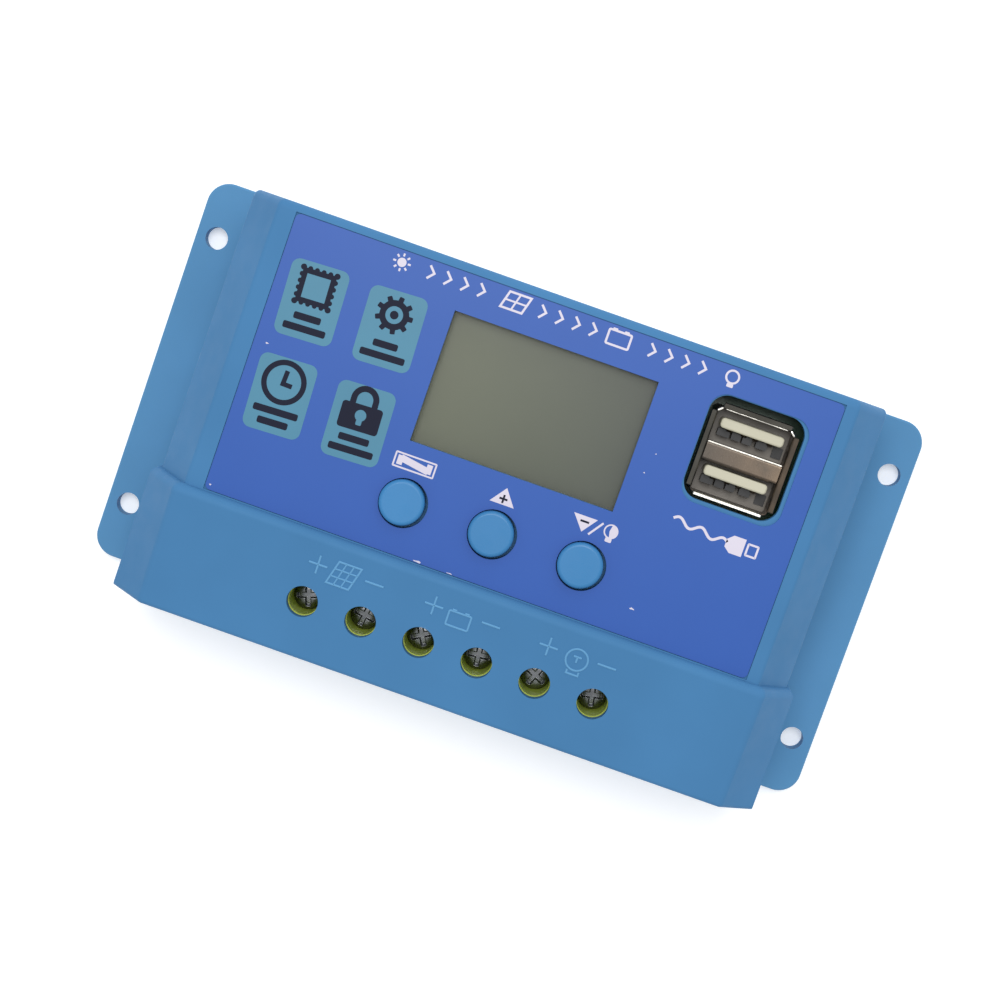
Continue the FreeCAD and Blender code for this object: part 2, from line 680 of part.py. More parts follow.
def make_usb_shell():
    """Steel tube with a wide divider between two ports and a flared lip on each side."""
    body = new_body("usb_shell")
    bottom = "panel_board_low + board_thick"
    tube = new_sketch(body, "XY_Plane", bottom)
    rectangle(tube, "usb_x", "usb_y", "shell_wide", "shell_deep")
    pad(body, tube, f"shell_mouth - ({bottom})")
    room = new_sketch(body, "XY_Plane", "socket_floor")
    rectangle(room, "usb_x", "usb_y", "shell_wide - 2 * shell_wall", "shell_deep - 2 * shell_wall")
    pocket(body, room, f"socket_floor - ({bottom})")
    ports = new_sketch(body, "XY_Plane", "shell_mouth")
    for low, high in port_spans():
        rectangle(
            ports, "usb_x", f"(({low}) + ({high})) / 2", "shell_wide - 2 * shell_wall", f"({high}) - ({low})",
        )
    pocket(body, ports, "shell_mouth - socket_floor")
    for side in (-1, 1):
        sides = new_sketch(body, "XZ_Plane", "-usb_y")
        polygon(sides, lip("usb_x", "shell_wide / 2", side))
        pad(body, sides, "shell_deep - 2 * flare_short", Midplane=True)
        ends = new_sketch(body, "YZ_Plane", "usb_x")
        polygon(ends, lip("usb_y", "shell_deep / 2", side))
        pad(body, ends, "shell_wide - 2 * flare_short", Midplane=True)
    return keep(body, "usb_shell")


def lip(middle, half, side):
    """Section of a lip that leans outwards from the tube's edge: across by height."""
    return (
        (f"{middle} + {side} * ({half} - shell_wall)", "shell_mouth - shell_wall"),
        (f"{middle} + {side} * ({half})", "shell_mouth - shell_wall"),
        (f"{middle} + {side} * ({half} + flare_out)", "shell_mouth + flare_up - shell_wall"),
        (f"{middle} + {side} * ({half} + flare_out)", "shell_mouth + flare_up"),
        (f"{middle} + {side} * ({half} - shell_wall)", "shell_mouth"),
    )


def port_spans():
    """Front and back of each port's opening, front port first."""
    middle = "usb_y + divider_y"
    inside = "(shell_deep / 2 - shell_wall)"
    return (
        (f"usb_y - {inside}", f"{middle} - divider_deep / 2"),
        (f"{middle} + divider_deep / 2", f"usb_y + {inside}"),
    )


def tongue_y(end):
    return f"usb_y + tongue_y + {end} * tongue_split / 2"


def make_usb_inside():
    """Insulator block with a tongue in each port, and four spring contacts in front of each tongue."""
    low = "panel_board_low + board_thick"
    base = block(
        "usb_x", "usb_y", low, "shell_wide - 2 * shell_wall", "shell_deep - 2 * shell_wall",
        f"socket_floor - ({low})",
    )
    tongues, contacts = [], []
    for end in (-1, 1):
        tall = "tongue_top - socket_floor"
        tongues.append(block("usb_x", tongue_y(end), "socket_floor", "tongue_wide", "tongue_thick", tall))
        for place in ("-contact_outer", "-contact_inner", "contact_inner", "contact_outer"):
            face = f"{tongue_y(end)} - tongue_thick / 2 - contact_thick / 2"
            tall = "contact_top - socket_floor"
            x = f"usb_x + {place}"
            contacts.append(block(x, face, "socket_floor", "contact_wide", "contact_thick", tall))
    keep(fuse(base, *tongues), "usb_insulator")
    keep(group(contacts), "usb_contacts")


# ---- Terminals

def pole_x(pole):
    return f"({pole} - 2.5) * pole_pitch"


def make_terminal_housings():
    """Three two-pole housings, open below; each pole has a well, a wire entry and a driver collar."""
    low = "board_low + board_thick"
    modules = []
    for first in (0, 2, 4):
        left = f"{pole_x(first)} - pole_pitch / 2 + module_gap / 2"
        right = f"{pole_x(first + 1)} + pole_pitch / 2 - module_gap / 2"
        outer = slab(left, right, "housing_front", "housing_back", low, "housing_top")
        collars, voids = [], []
        for pole in (first, first + 1):
            x = pole_x(pole)
            half = "well_wide / 2"
            voids.append(slab(f"{x} - {half}", f"{x} + {half}", "well_front", "well_back", low, "well_top"))
            half = "entry_wide / 2"
            voids.append(
                slab(
                    f"{x} - {half}", f"{x} + {half}", "housing_front", "well_front",
                    "entry_low", "entry_low + entry_tall",
                )
            )
            voids.append(rod(x, "terminal_y", "well_top", "shank_hole", "housing_top - well_top"))
            voids.append(rod(x, "terminal_y", "chamber_low", "chamber_radius", "collar_top - chamber_low"))
            collars.append(rod(x, "terminal_y", "housing_top", "collar_radius", "collar_top - housing_top"))
        modules.append(cut(fuse(outer, *collars), *voids))
    return keep(group(modules), "terminal_housings")


def make_terminal_screw(pole):
    """Captive screw with a cross-cut head."""
    x = pole_x(pole)
    shank = rod(x, "terminal_y", "screw_tip", "screw_radius", "screw_neck - screw_tip")
    head = rod(x, "terminal_y", "screw_neck", "screw_head_radius", "screw_head_top - screw_neck")
    slot_low = "screw_head_top - cross_deep"
    along = block(x, "terminal_y", slot_low, "cross_long", "cross_wide", "cross_deep")
    across = block(x, "terminal_y", slot_low, "cross_wide", "cross_long", "cross_deep")
    return keep(cut(fuse(shank, head), along, across), f"terminal_screw_{pole + 1}")


def make_clamp_cage(pole):
    """Square clamp, open front to back, with the screw through its roof."""
    x = pole_x(pole)
    outer = block(x, "terminal_y", "cage_low", "cage_wide", "cage_deep", "cage_tall")
    window = block(
        x, "terminal_y", "cage_low + cage_floor", "cage_window", "cage_deep",
        "cage_tall - cage_floor - cage_roof",
    )
    hole = rod(x, "terminal_y", "cage_low + cage_tall - cage_roof", "cage_hole", "cage_roof")
    return keep(cut(outer, window, hole), f"clamp_cage_{pole + 1}")


def make_busbars():
    """Six angles: a bar through the clamp and a foot down through the board."""
    bars = []
    for pole in POLES:
        x = pole_x(pole)
        left, right = f"{x} - bar_wide / 2", f"{x} + bar_wide / 2"
        level = slab(left, right, "bar_front", "bar_back", "bar_top - bar_thick", "bar_top")
        foot = slab(left, right, "bar_back - bar_thick", "bar_back", "bar_foot", "bar_top")
        bars.append(fuse(level, foot))
    return keep(group(bars), "terminal_busbars")


# ---- Boards and what they carry

def make_power_board():
    """Main board, notched round the case posts and slotted for the terminals' feet."""
    top = "board_low + board_thick"
    outer = slab("-board_half", "board_half", "board_front", "board_back", "board_low", top)
    voids = []
    for side in (-1, 1):
        for end in ("board_front", "board_back"):
            voids.append(
                block(f"{side} * board_half", end, "board_low", "notch_x", "2 * notch_y", "board_thick")
            )
    for x, y in board_posts():
        voids.append(rod(x, y, "board_low", "post_hole", "board_thick"))
    for pole in POLES:
        middle = "bar_back - bar_thick / 2"
        wide, deep = "bar_wide + bar_slot", "bar_thick + bar_slot"
        voids.append(block(pole_x(pole), middle, "board_low", wide, deep, "board_thick"))
    return keep(cut(outer, *voids), "power_board")


def spacer_places():
    return (
        ("spacer_left", "spacer_back"), ("spacer_back_right", "spacer_back"),
        ("spacer_left", "spacer_front"), ("spacer_front_right", "spacer_front"),
    )


def make_panel_board():
    """Upper board behind the label, on four spacers with their screws."""
    top = "panel_board_low + board_thick"
    outer = slab(
        "panel_board_left", "panel_board_right", "panel_board_front", "panel_board_back",
        "panel_board_low", top,
    )
    holes = [rod(x, y, "panel_board_low", "spacer_hole", "board_thick") for x, y in spacer_places()]
    keep(cut(outer, *holes), "control_board")
    low = "board_low + board_thick"
    tall = f"panel_board_low - ({low})"
    spacers, screws = [], []
    for x, y in spacer_places():
        spacers.append(cut(rod(x, y, low, "spacer_radius", tall), rod(x, y, low, "spacer_bore", tall)))
        shank = rod(x, y, f"{top} - small_shank_long", "small_shank", "small_shank_long")
        screws.append(fuse(shank, rod(x, y, top, "small_head", "small_head_tall")))
    keep(group(spacers), "board_spacers")
    keep(group(screws), "spacer_screws")


def make_board_screws():
    """Four screws that hold the power board on the base's posts."""
    top = "board_low + board_thick"
    screws = [
        fuse(
            rod(x, y, f"{top} - small_shank_long", "small_shank", "small_shank_long"),
            rod(x, y, top, "small_head", "small_head_tall"),
        )
        for x, y in board_posts()
    ]
    return keep(group(screws), "power_board_screws")


def mosfet_x(place):
    return f"({place} - 1.5) * mosfet_pitch"


def make_power_stage():
    """Heat sink bar behind four transistors, each screwed through its tab."""
    low = "board_low + board_thick"
    face = "sink_front - tab_thick"
    body_front = f"{face} - mosfet_deep"
    hole_up = "mosfet_low + tab_hole_up"
    bodies, tabs, screws, holes = [], [], [], []
    for place in range(4):
        x = mosfet_x(place)
        left, right = f"{x} - mosfet_wide / 2", f"{x} + mosfet_wide / 2"
        bodies.append(slab(left, right, body_front, face, "mosfet_low", "mosfet_low + mosfet_tall"))
        tab = slab(left, right, face, "sink_front", "mosfet_low", "mosfet_low + tab_tall")
        leads = [
            block(
                f"{x} + {step} * lead_pitch", f"{face} + lead_thick / 2", low,
                "lead_wide", "lead_thick", f"mosfet_low - ({low})",
            )
            for step in (-1, 0, 1)
        ]
        tabs.append(fuse(cut(tab, level_rod(x, face, hole_up, "tab_hole", "tab_thick")), *leads))
        holes.append(level_rod(x, "sink_front", hole_up, "sink_screw_radius", "sink_thick"))
        head_front = f"{face} - sink_screw_head_tall"
        head = level_rod(x, head_front, hole_up, "sink_screw_head", "sink_screw_head_tall")
        screws.append(fuse(head, level_rod(x, face, hole_up, "sink_screw_radius", "tab_thick + sink_thick")))
    bar = slab("-sink_half", "sink_half", "sink_front", "sink_front + sink_thick", "sink_low", "sink_top")
    keep(cut(bar, *holes), "heat_sink")
    keep(group(bodies), "mosfet_bodies")
    keep(group(tabs), "mosfet_tabs")
    keep(group(screws), "heat_sink_screws")


def make_choke():
    """Spool-shaped ferrite core and the copper coil wound on it."""
    x, y, low = "choke_x", "choke_y", "board_low + board_thick"
    coil_low, coil_tall = f"{low} + choke_rim + choke_gap", "choke_tall - 2 * choke_rim - 2 * choke_gap"
    core = fuse(
        rod(x, y, low, "choke_radius", "choke_rim"),
        rod(x, y, low, "choke_core_radius", "choke_tall"),
        rod(x, y, f"{low} + choke_tall - choke_rim", "choke_radius", "choke_rim"),
    )
    keep(core, "choke_core")
    coil = cut(
        rod(x, y, coil_low, "coil_radius", coil_tall),
        rod(x, y, coil_low, "choke_core_radius + choke_gap", coil_tall),
    )
    keep(coil, "choke_coil")


def board_part(name, low):
    """A plain block from one row of a table of board parts."""
    sizes = [f"{name}_{key}" for key in ("wide", "deep", "tall")]
    return block(f"{name}_x", f"{name}_y", low, *sizes)


def make_board_parts():
    """Chips, diodes, capacitors, the shunt and the link between the boards."""
    low, panel_top = "board_low + board_thick", "panel_board_low + board_thick"
    keep(board_part("regulator_chip", low), "regulator_chip")
    keep(board_part("microcontroller", panel_top), "microcontroller")
    keep(board_part("crystal", panel_top), "crystal")
    socket = board_part("board_socket", low)
    keep(socket, "board_socket")
    socket_top = f"{low} + board_socket_tall"
    header = block(
        "board_socket_x", "board_socket_y", socket_top, "board_socket_wide", "board_socket_deep",
        f"panel_board_low - ({socket_top})",
    )
    keep(header, "board_header")
    gap = block(
        "shunt_resistor_x", "shunt_resistor_y", low, "shunt_resistor_wide - 2 * shunt_leg",
        "shunt_resistor_deep", "shunt_resistor_tall - shunt_bar",
    )
    keep(cut(board_part("shunt_resistor", low), gap), "shunt_resistor")
    diodes = [
        block("diode_x", f"diode_y + {step} * diode_pitch", low, "diode_wide", "diode_deep", "diode_tall")
        for step in (-1, 0)
    ]
    keep(group(diodes), "power_diodes")
    cans = [rod("can_x", y, low, "can_radius", "can_tall") for y in ("can_back", "can_front")]
    keep(group(cans), "bulk_capacitors")
    tiny = [
        block(
            f"tiny_x + {column} * chip_pitch", f"tiny_y + {row} * chip_pitch", low,
            "tiny_wide", "tiny_deep", "tiny_tall",
        )
        for column in range(3)
        for row in range(2)
    ]
    keep(group(tiny), "small_parts")


def check_and_write():
    """Stop on any failed object or empty or invalid shape, then write one STEP file for each node."""
    doc.recompute()
    for thing in doc.Objects:
        if "Invalid" in thing.State or "Error" in thing.State:
            raise RuntimeError(f"{thing.Name} ({thing.Label}) failed: {thing.State}")
    for node in nodes:
        if node.Shape.isNull() or not node.Shape.isValid() or node.Shape.Volume <= 0:
            raise RuntimeError(f"{node.Label} has no valid solid")
    os.makedirs("parts", exist_ok=True)
    for node in nodes:
        node.Shape.exportStep(f"parts/{node.Label}.step")
        solids, volume = len(node.Shape.Solids), node.Shape.Volume
        print(f"{node.Label:22s} solids {solids:3d} volume {volume:10.2f} mm3")


def main():
    fill_sheet()
    make_base_plate()
    make_top_cover()
    make_case_screws()
    make_front_label()
    make_display()
    for name, place in BUTTONS.items():
        make_button(name, place)
    make_switches()
    make_usb_shell()
    make_usb_inside()
    make_terminal_housings()
    for pole in POLES:
        make_terminal_screw(pole)
        make_clamp_cage(pole)
    make_busbars()
    make_power_board()
    make_panel_board()
    make_board_screws()
    make_power_stage()
    make_choke()
    make_board_parts()
    check_and_write()


main()
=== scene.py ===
"""Studio scene of a solar charge controller: label print, moulded symbols, metal and plastic finishes.

Places are in metres in the case's own frame: +X along the terminals, +Y away from them, +Z up.
"""
import bpy
import math
import numpy as np
from mathutils import Matrix, Vector


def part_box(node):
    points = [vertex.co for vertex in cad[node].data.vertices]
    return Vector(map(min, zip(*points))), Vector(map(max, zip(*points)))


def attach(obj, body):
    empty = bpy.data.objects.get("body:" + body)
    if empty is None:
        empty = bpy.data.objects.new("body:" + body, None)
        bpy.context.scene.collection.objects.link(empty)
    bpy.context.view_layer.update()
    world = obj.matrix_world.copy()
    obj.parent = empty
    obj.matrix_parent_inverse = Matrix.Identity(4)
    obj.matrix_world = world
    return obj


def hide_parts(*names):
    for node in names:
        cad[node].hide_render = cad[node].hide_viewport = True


MM = 0.001

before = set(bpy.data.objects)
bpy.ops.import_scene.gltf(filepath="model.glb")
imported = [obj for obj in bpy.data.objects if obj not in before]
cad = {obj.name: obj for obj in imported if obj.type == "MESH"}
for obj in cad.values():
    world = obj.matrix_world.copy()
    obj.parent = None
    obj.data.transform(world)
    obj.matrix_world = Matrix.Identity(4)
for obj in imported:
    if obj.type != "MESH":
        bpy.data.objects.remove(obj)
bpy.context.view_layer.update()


# ---- Surfaces

def grid_faces(rows, columns, closed_rows=False, closed_columns=False):
    """Quads of a rows x columns grid: every point joins the next along its row and the next row."""
    row = np.arange(rows if closed_rows else rows - 1)[:, None]
    column = np.arange(columns if closed_columns else columns - 1)[None, :]
    here = row * columns
    after = ((row + 1) % rows) * columns
    step = (column + 1) % columns
    return np.stack([here + column, here + step, after + step, after + column], -1).reshape(-1, 4)


def outward(points, quads):
    """The quads turned so that the enclosed volume, a sum of triple products, is positive."""
    a, b, c, d = (points[quads[:, k]] for k in range(4))
    volume = np.sum(a * np.cross(b, c)) + np.sum(a * np.cross(c, d))
    return quads if volume > 0 else quads[:, ::-1]


def closed_tube(rings):
    """A closed solid from rings x points x 3: the wall, and each end drawn to its ring's mean point."""
    count, around = rings.shape[:2]
    ends = rings[[0, -1]].mean(1)
    points = np.vstack([rings.reshape(-1, 3), ends])
    wall = grid_faces(count, around, closed_columns=True)
    start = np.arange(around)
    after = (start + 1) % around
    last = (count - 1) * around
    first_pole = np.full(around, count * around)
    caps = np.vstack([
        np.stack([first_pole, after, start, first_pole], -1),
        np.stack([first_pole + 1, last + start, last + after, first_pole + 1], -1),
    ])
    return points, outward(points, np.vstack([wall, caps]))


def closed_ring(rings):
    """A closed solid from rings x points x 3 whose last ring joins the first, as on a torus."""
    points = rings.reshape(-1, 3)
    return points, outward(points, grid_faces(*rings.shape[:2], True, True))


def as_piece(name, solids, material, body="case", smooth=False):
    """One object out of several closed solids, riding on a CAD body."""
    starts = np.cumsum([0] + [len(points) for points, _ in solids[:-1]])
    points = np.vstack([points for points, _ in solids])
    quads = np.vstack([faces + start for (_, faces), start in zip(solids, starts)])
    flat = (quads[:, 0] == quads[:, 3]) | (quads[:, 2] == quads[:, 3])
    clean = [face[:3] if three else face for face, three in zip(quads.tolist(), flat.tolist())]
    mesh = bpy.data.meshes.new(name)
    mesh.from_pydata((points * MM).tolist(), [], clean)
    mesh.polygons.foreach_set("use_smooth", np.full(len(clean), smooth))
    mesh.materials.append(material)
    made = bpy.data.objects.new(name, mesh)
    bpy.context.scene.collection.objects.link(made)
    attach(made, body)
    return made


# ---- Flat shapes, in millimetres on the label or on the hood

def arc(x, y, radius, first, last, count):
    """Points at (x + r cos a, y + r sin a) for a from first to last degrees."""
    angle = np.radians(np.linspace(first, last, count))
    return np.stack([x + radius * np.cos(angle), y + radius * np.sin(angle)], -1)


def circle(x, y, radius, count=48):
    return arc(x, y, radius, 0, 360, count + 1)[:-1]


def round_box(x, y, wide, tall, radius, count=6):
    """A rectangle about its middle with a quarter circle at each corner."""
    right, top = wide / 2 - radius, tall / 2 - radius
    return np.vstack([
        arc(x + right, y + top, radius, 0, 90, count),
        arc(x - right, y + top, radius, 90, 180, count),
        arc(x - right, y - top, radius, 180, 270, count),
        arc(x + right, y - top, radius, 270, 360, count),
    ])


def turned(points, degrees, x=0.0, y=0.0):
    """The points turned about the origin, then moved by x, y."""
    angle = math.radians(degrees)
    turn = np.array([[math.cos(angle), math.sin(angle)], [-math.sin(angle), math.cos(angle)]])
    return np.asarray(points, float) @ turn + (x, y)


def stroke(path, width, closed=False):
    """Left and right edges of a line of even width: p + n w/2 and p - n w/2, n mitred at corners."""
    path = np.asarray(path, float)
    if closed:
        before, after = path - np.roll(path, 1, 0), np.roll(path, -1, 0) - path
    else:
        steps = np.diff(path, axis=0)
        before, after = np.vstack([steps[:1], steps]), np.vstack([steps, steps[-1:]])
    before = before / np.linalg.norm(before, axis=1, keepdims=True)
    after = after / np.linalg.norm(after, axis=1, keepdims=True)
    middle = before + after
    middle = middle / np.linalg.norm(middle, axis=1, keepdims=True)
    normal = np.stack([-middle[:, 1], middle[:, 0]], -1)
    spread = width / 2 / np.sum(middle * before, 1, keepdims=True)
    return path + normal * spread, path - normal * spread


def laid(flat, surface, height):
    """Flat x, y points on a surface z(x, y), raised by a height."""
    return np.stack([flat[:, 0], flat[:, 1], surface(flat[:, 0], flat[:, 1]) + height], -1)


def line_solid(path, width, surface, low, high, bevel=0.0, closed=False):
    """A line as a solid: its section, a strip with bevelled upper edges, carried along the path."""
    left, right = stroke(path, width, closed)
    in_left, in_right = stroke(path, width - 2 * bevel, closed)
    rings = np.stack([
        laid(left, surface, low), laid(left, surface, high - bevel), laid(in_left, surface, high),
        laid(in_right, surface, high), laid(right, surface, high - bevel), laid(right, surface, low),
    ], 1)
    return closed_ring(rings) if closed else closed_tube(rings)


def patch_solid(outline, surface, low, high):
    """A filled outline as a thin solid, its top and bottom drawn to the outline's mean point."""
    return closed_tube(np.stack([laid(outline, surface, low), laid(outline, surface, high)]))


def band_solid(inner, outer, surface, low, high):
    """The area between two outlines with equally many points, as a thin solid ring."""
    rings = np.stack([
        laid(inner, surface, low), laid(inner, surface, high), laid(outer, surface, high),
        laid(outer, surface, low),
    ])
    return closed_ring(rings)


# ---- Finishes

def linear(red, green, blue):
    """A screen colour from 0 to 255 as the linear values a shader takes."""
    value = np.array([red, green, blue]) / 255
    value = np.where(value > 0.04045, ((value + 0.055) / 1.055) ** 2.4, value / 12.92)
    return (*value.tolist(), 1.0)


class Finish:
    """A node material with a Principled shader and patterns read from Object coordinates."""

    def __init__(self, name, roughness=0.5, metallic=0.0):
        self.material = bpy.data.materials.new(name)
        self.material.use_nodes = True
        self.tree = self.material.node_tree
        self.shader = next(node for node in self.tree.nodes if node.type == "BSDF_PRINCIPLED")
        self.place = self.tree.nodes.new("ShaderNodeTexCoord").outputs["Object"]
        self.set(Roughness=roughness, Metallic=metallic)

    def set(self, **sockets):
        for name, value in sockets.items():
            self.shader.inputs[name.replace("_", " ")].default_value = value
        return self

    def stretched(self, scale):
        """Object coordinates scaled by three factors."""
        mapping = self.tree.nodes.new("ShaderNodeMapping")
        mapping.inputs["Scale"].default_value = scale
        self.tree.links.new(self.place, mapping.inputs["Vector"])
        return mapping.outputs["Vector"]

    def noise(self, scale, detail=2.0, along=None):
        node = self.tree.nodes.new("ShaderNodeTexNoise")
        node.inputs["Scale"].default_value = scale
        node.inputs["Detail"].default_value = detail
        self.tree.links.new(self.stretched(along) if along else self.place, node.inputs["Vector"])
        return node.outputs["Fac"]

    def ranged(self, value, low, high, start=0.35, end=0.65):
        """A pattern's values from start to end spread from low to high."""
        node = self.tree.nodes.new("ShaderNodeMapRange")
        for name, number in (("From Min", start), ("From Max", end), ("To Min", low), ("To Max", high)):
            node.inputs[name].default_value = number
        self.tree.links.new(value, node.inputs["Value"])
        return node.outputs["Result"]

    def mixed(self, share, first, second):
        """A colour between two others; each is a colour or another node's output."""
        node = self.tree.nodes.new("ShaderNodeMix")
        node.data_type = "RGBA"
        self.tree.links.new(share, node.inputs["Factor"])
        for socket, colour in zip([s for s in node.inputs if s.type == "RGBA"], (first, second)):
            if isinstance(colour, tuple):
                socket.default_value = colour
            else:
                self.tree.links.new(colour, socket)
        return next(output for output in node.outputs if output.type == "RGBA")

    def colour(self, source):
        self.tree.links.new(source, self.shader.inputs["Base Color"])
        return self

    def rough(self, source):
        self.tree.links.new(source, self.shader.inputs["Roughness"])
        return self

    def bump(self, source, strength, distance):
        node = self.tree.nodes.new("ShaderNodeBump")
        node.inputs["Strength"].default_value = strength
        node.inputs["Distance"].default_value = distance
        self.tree.links.new(source, node.inputs["Height"])
        self.tree.links.new(node.outputs["Normal"], self.shader.inputs["Normal"])
        return self


def shade(colour, factor):
    return (*(min(1.0, part * factor) for part in colour[:3]), 1.0)


def moulded(name, colour, roughness=0.45, grain=2600, depth=0.00002, cloud=0.05):
    """Moulded plastic: a slow cloudiness in the colour, and a fine even grain."""
    finish = Finish(name, roughness)
    clouds = finish.ranged(finish.noise(45, 3.0), 0, 1, 0.3, 0.7)
    finish.colour(finish.mixed(clouds, shade(colour, 1 - cloud), shade(colour, 1 + cloud)))
    finish.rough(finish.ranged(finish.noise(300, 2.0), roughness - 0.05, roughness + 0.06))
    return finish.bump(finish.noise(grain, 3.0), 0.35, depth)


def stained(finish, clean, stain):
    """Faint stains over the clean colour."""
    return finish.colour(finish.mixed(finish.ranged(finish.noise(260, 3.0), 0, 1, 0.35, 0.7), clean, stain))


def lined(finish, roughness, along):
    """Fine lines across one direction, in the sheen and in the surface."""
    lines = finish.noise(900, 2.0, along)
    finish.rough(finish.ranged(lines, roughness - 0.08, roughness + 0.12))
    return finish.bump(lines, 0.2, 0.00001)


def metal(name, colour, roughness=0.32, along=(1, 1, 30)):
    """Rolled metal: fine lines and faint stains."""
    return lined(stained(Finish(name, roughness, 1.0), colour, shade(colour, 0.72)), roughness, along)


def ink(name, colour, roughness=0.4, mottle=0.04):
    """Screen-printed ink: nearly even, with slow clouds of mottle in its colour."""
    finish = Finish(name, roughness)
    clouds = finish.ranged(finish.noise(90, 3.0), 0, 1, 0.3, 0.7)
    finish.colour(finish.mixed(clouds, shade(colour, 1 - mottle), shade(colour, 1 + mottle)))
    return finish.bump(finish.noise(5000, 2.0), 0.12, 0.000004)


case_plastic = moulded("case_plastic", linear(71, 122, 167), 0.5)
case_plastic.set(Specular_IOR_Level=0.05)
# Painted light: the base plate is the cover's own plastic, made lighter to stand for the brighter light on
# its flat flanges.
lit_base_plastic = moulded("lit_base_plastic", linear(87, 138, 179), 0.5)
lit_base_plastic.set(Specular_IOR_Level=0.05)
# Painted highlight: the hood's ribs are the cover's own plastic, made paler to stand for the light their
# raised tops and edges catch.
rib_highlight_plastic = moulded("rib_highlight_plastic", linear(98, 154, 196), 0.5)
rib_highlight_plastic.set(Specular_IOR_Level=0.2)
button_plastic = moulded("button_plastic", linear(54, 122, 175), 0.36, grain=3400)
button_plastic.set(Specular_IOR_Level=0.35)
label_sheet = ink("label_sheet", linear(45, 87, 166), 0.36, 0.015)
label_sheet.set(Coat_Weight=0.06, Coat_Roughness=0.3, Specular_IOR_Level=0.25)
tile_ink = ink("tile_ink", linear(69, 127, 153))
tile_ink.set(Specular_IOR_Level=0.35)
dark_ink = ink("dark_ink", linear(20, 24, 44), 0.5)
dark_ink.set(Specular_IOR_Level=0.15)
white_ink = ink("white_ink", linear(206, 200, 214))
terminal_plastic = moulded("terminal_plastic", linear(188, 204, 84), 0.35)
tongue_plastic = moulded("tongue_plastic", linear(192, 188, 166), 0.42)
black_plastic = moulded("black_plastic", linear(26, 26, 30), 0.5)
white_plastic = moulded("white_plastic", linear(218, 218, 212), 0.5)
board_lacquer = moulded("board_lacquer", linear(24, 84, 52), 0.3, grain=1200)
# Painted shade: near-black plastic put where the ports hold only shadow.
shadow_dark_plastic = moulded("shadow_dark_plastic", linear(22, 22, 25), 0.4)
# Painted reflection: a lighter grey copy of the socket steel, for the left and back lips.
lip_reflection_grey = metal("lip_reflection_grey", linear(108, 105, 98), 0.32, (1, 30, 30))
socket_floor = moulded("socket_floor", linear(122, 116, 108), 0.45)
# Painted highlight: near-white metal for the bright lines along the socket edges.
highlight_metal = metal("highlight_metal", linear(252, 248, 238), 0.2)
screw_steel = metal("screw_steel", linear(138, 140, 144), 0.3, (1, 1, 1))
zinc_steel = metal("zinc_steel", linear(196, 198, 200), 0.36, (1, 1, 8))
tinned_copper = metal("tinned_copper", linear(208, 190, 168), 0.34, (1, 8, 1))
winding_copper = metal("winding_copper", linear(196, 112, 64), 0.3, (1, 1, 40))
sink_aluminium = metal("sink_aluminium", linear(206, 208, 210), 0.4, (1, 20, 20))
# Painted shade: the contacts' metal is made dark brown for the shade they sit in.
shaded_contact_metal = metal("shaded_contact_metal", linear(96, 84, 66), 0.35)
ferrite_black = moulded("ferrite_black", linear(42, 42, 46), 0.6, grain=900)
can_sleeve = moulded("can_sleeve", linear(30, 34, 52), 0.3)


def display_finish():
    """Unlit display: grey-green, lighter towards the back left corner, darker to the right, as a painted
    sheen.
    """
    finish = Finish("display_face", 0.34)
    split = finish.tree.nodes.new("ShaderNodeSeparateXYZ")
    finish.tree.links.new(finish.place, split.inputs["Vector"])
    # Painted sheen: the colour runs from light at the back left to dark at the right, standing in for the
    # light's reflection.
    across = finish.ranged(split.outputs["X"], 0, 1, -0.017, 0.018)
    finish.colour(finish.mixed(across, linear(92, 97, 76), linear(65, 71, 62)))
    return finish.rough(finish.ranged(finish.noise(60, 2.0), 0.32, 0.38))


def clear_finish(name, alpha):
    """Clear plastic or glass: mostly see-through, with faint haze."""
    finish = Finish(name, 0.2)
    haze = finish.ranged(finish.noise(60, 2.0), 0, 1)
    finish.colour(finish.mixed(haze, linear(128, 132, 120), linear(138, 142, 130)))
    return finish.set(Alpha=alpha)


def socket_finish():
    """Pressed steel of the power sockets: greyer at the left, browner at the right as a painted reflection,
    finely lined.
    """
    finish = Finish("socket_steel", SOCKET_ROUGHNESS, 1.0)
    split = finish.tree.nodes.new("ShaderNodeSeparateXYZ")
    finish.tree.links.new(finish.place, split.inputs["Vector"])
    # Painted reflection: the steel's colour runs across X from dark grey to lighter brown.
    across = finish.ranged(split.outputs["X"], 0, 1, 0.028, 0.0425)
    reflection_tint = finish.mixed(across, linear(78, 74, 70), linear(118, 103, 88))
    return lined(stained(finish, reflection_tint, linear(92, 84, 76)), SOCKET_ROUGHNESS, (30, 1, 1))


SOCKET_ROUGHNESS = 0.34
socket_steel = socket_finish()
display_face = display_finish()
window_film = clear_finish("window_film", 0.05)
light_guide = moulded("light_guide", linear(196, 200, 188), 0.3)


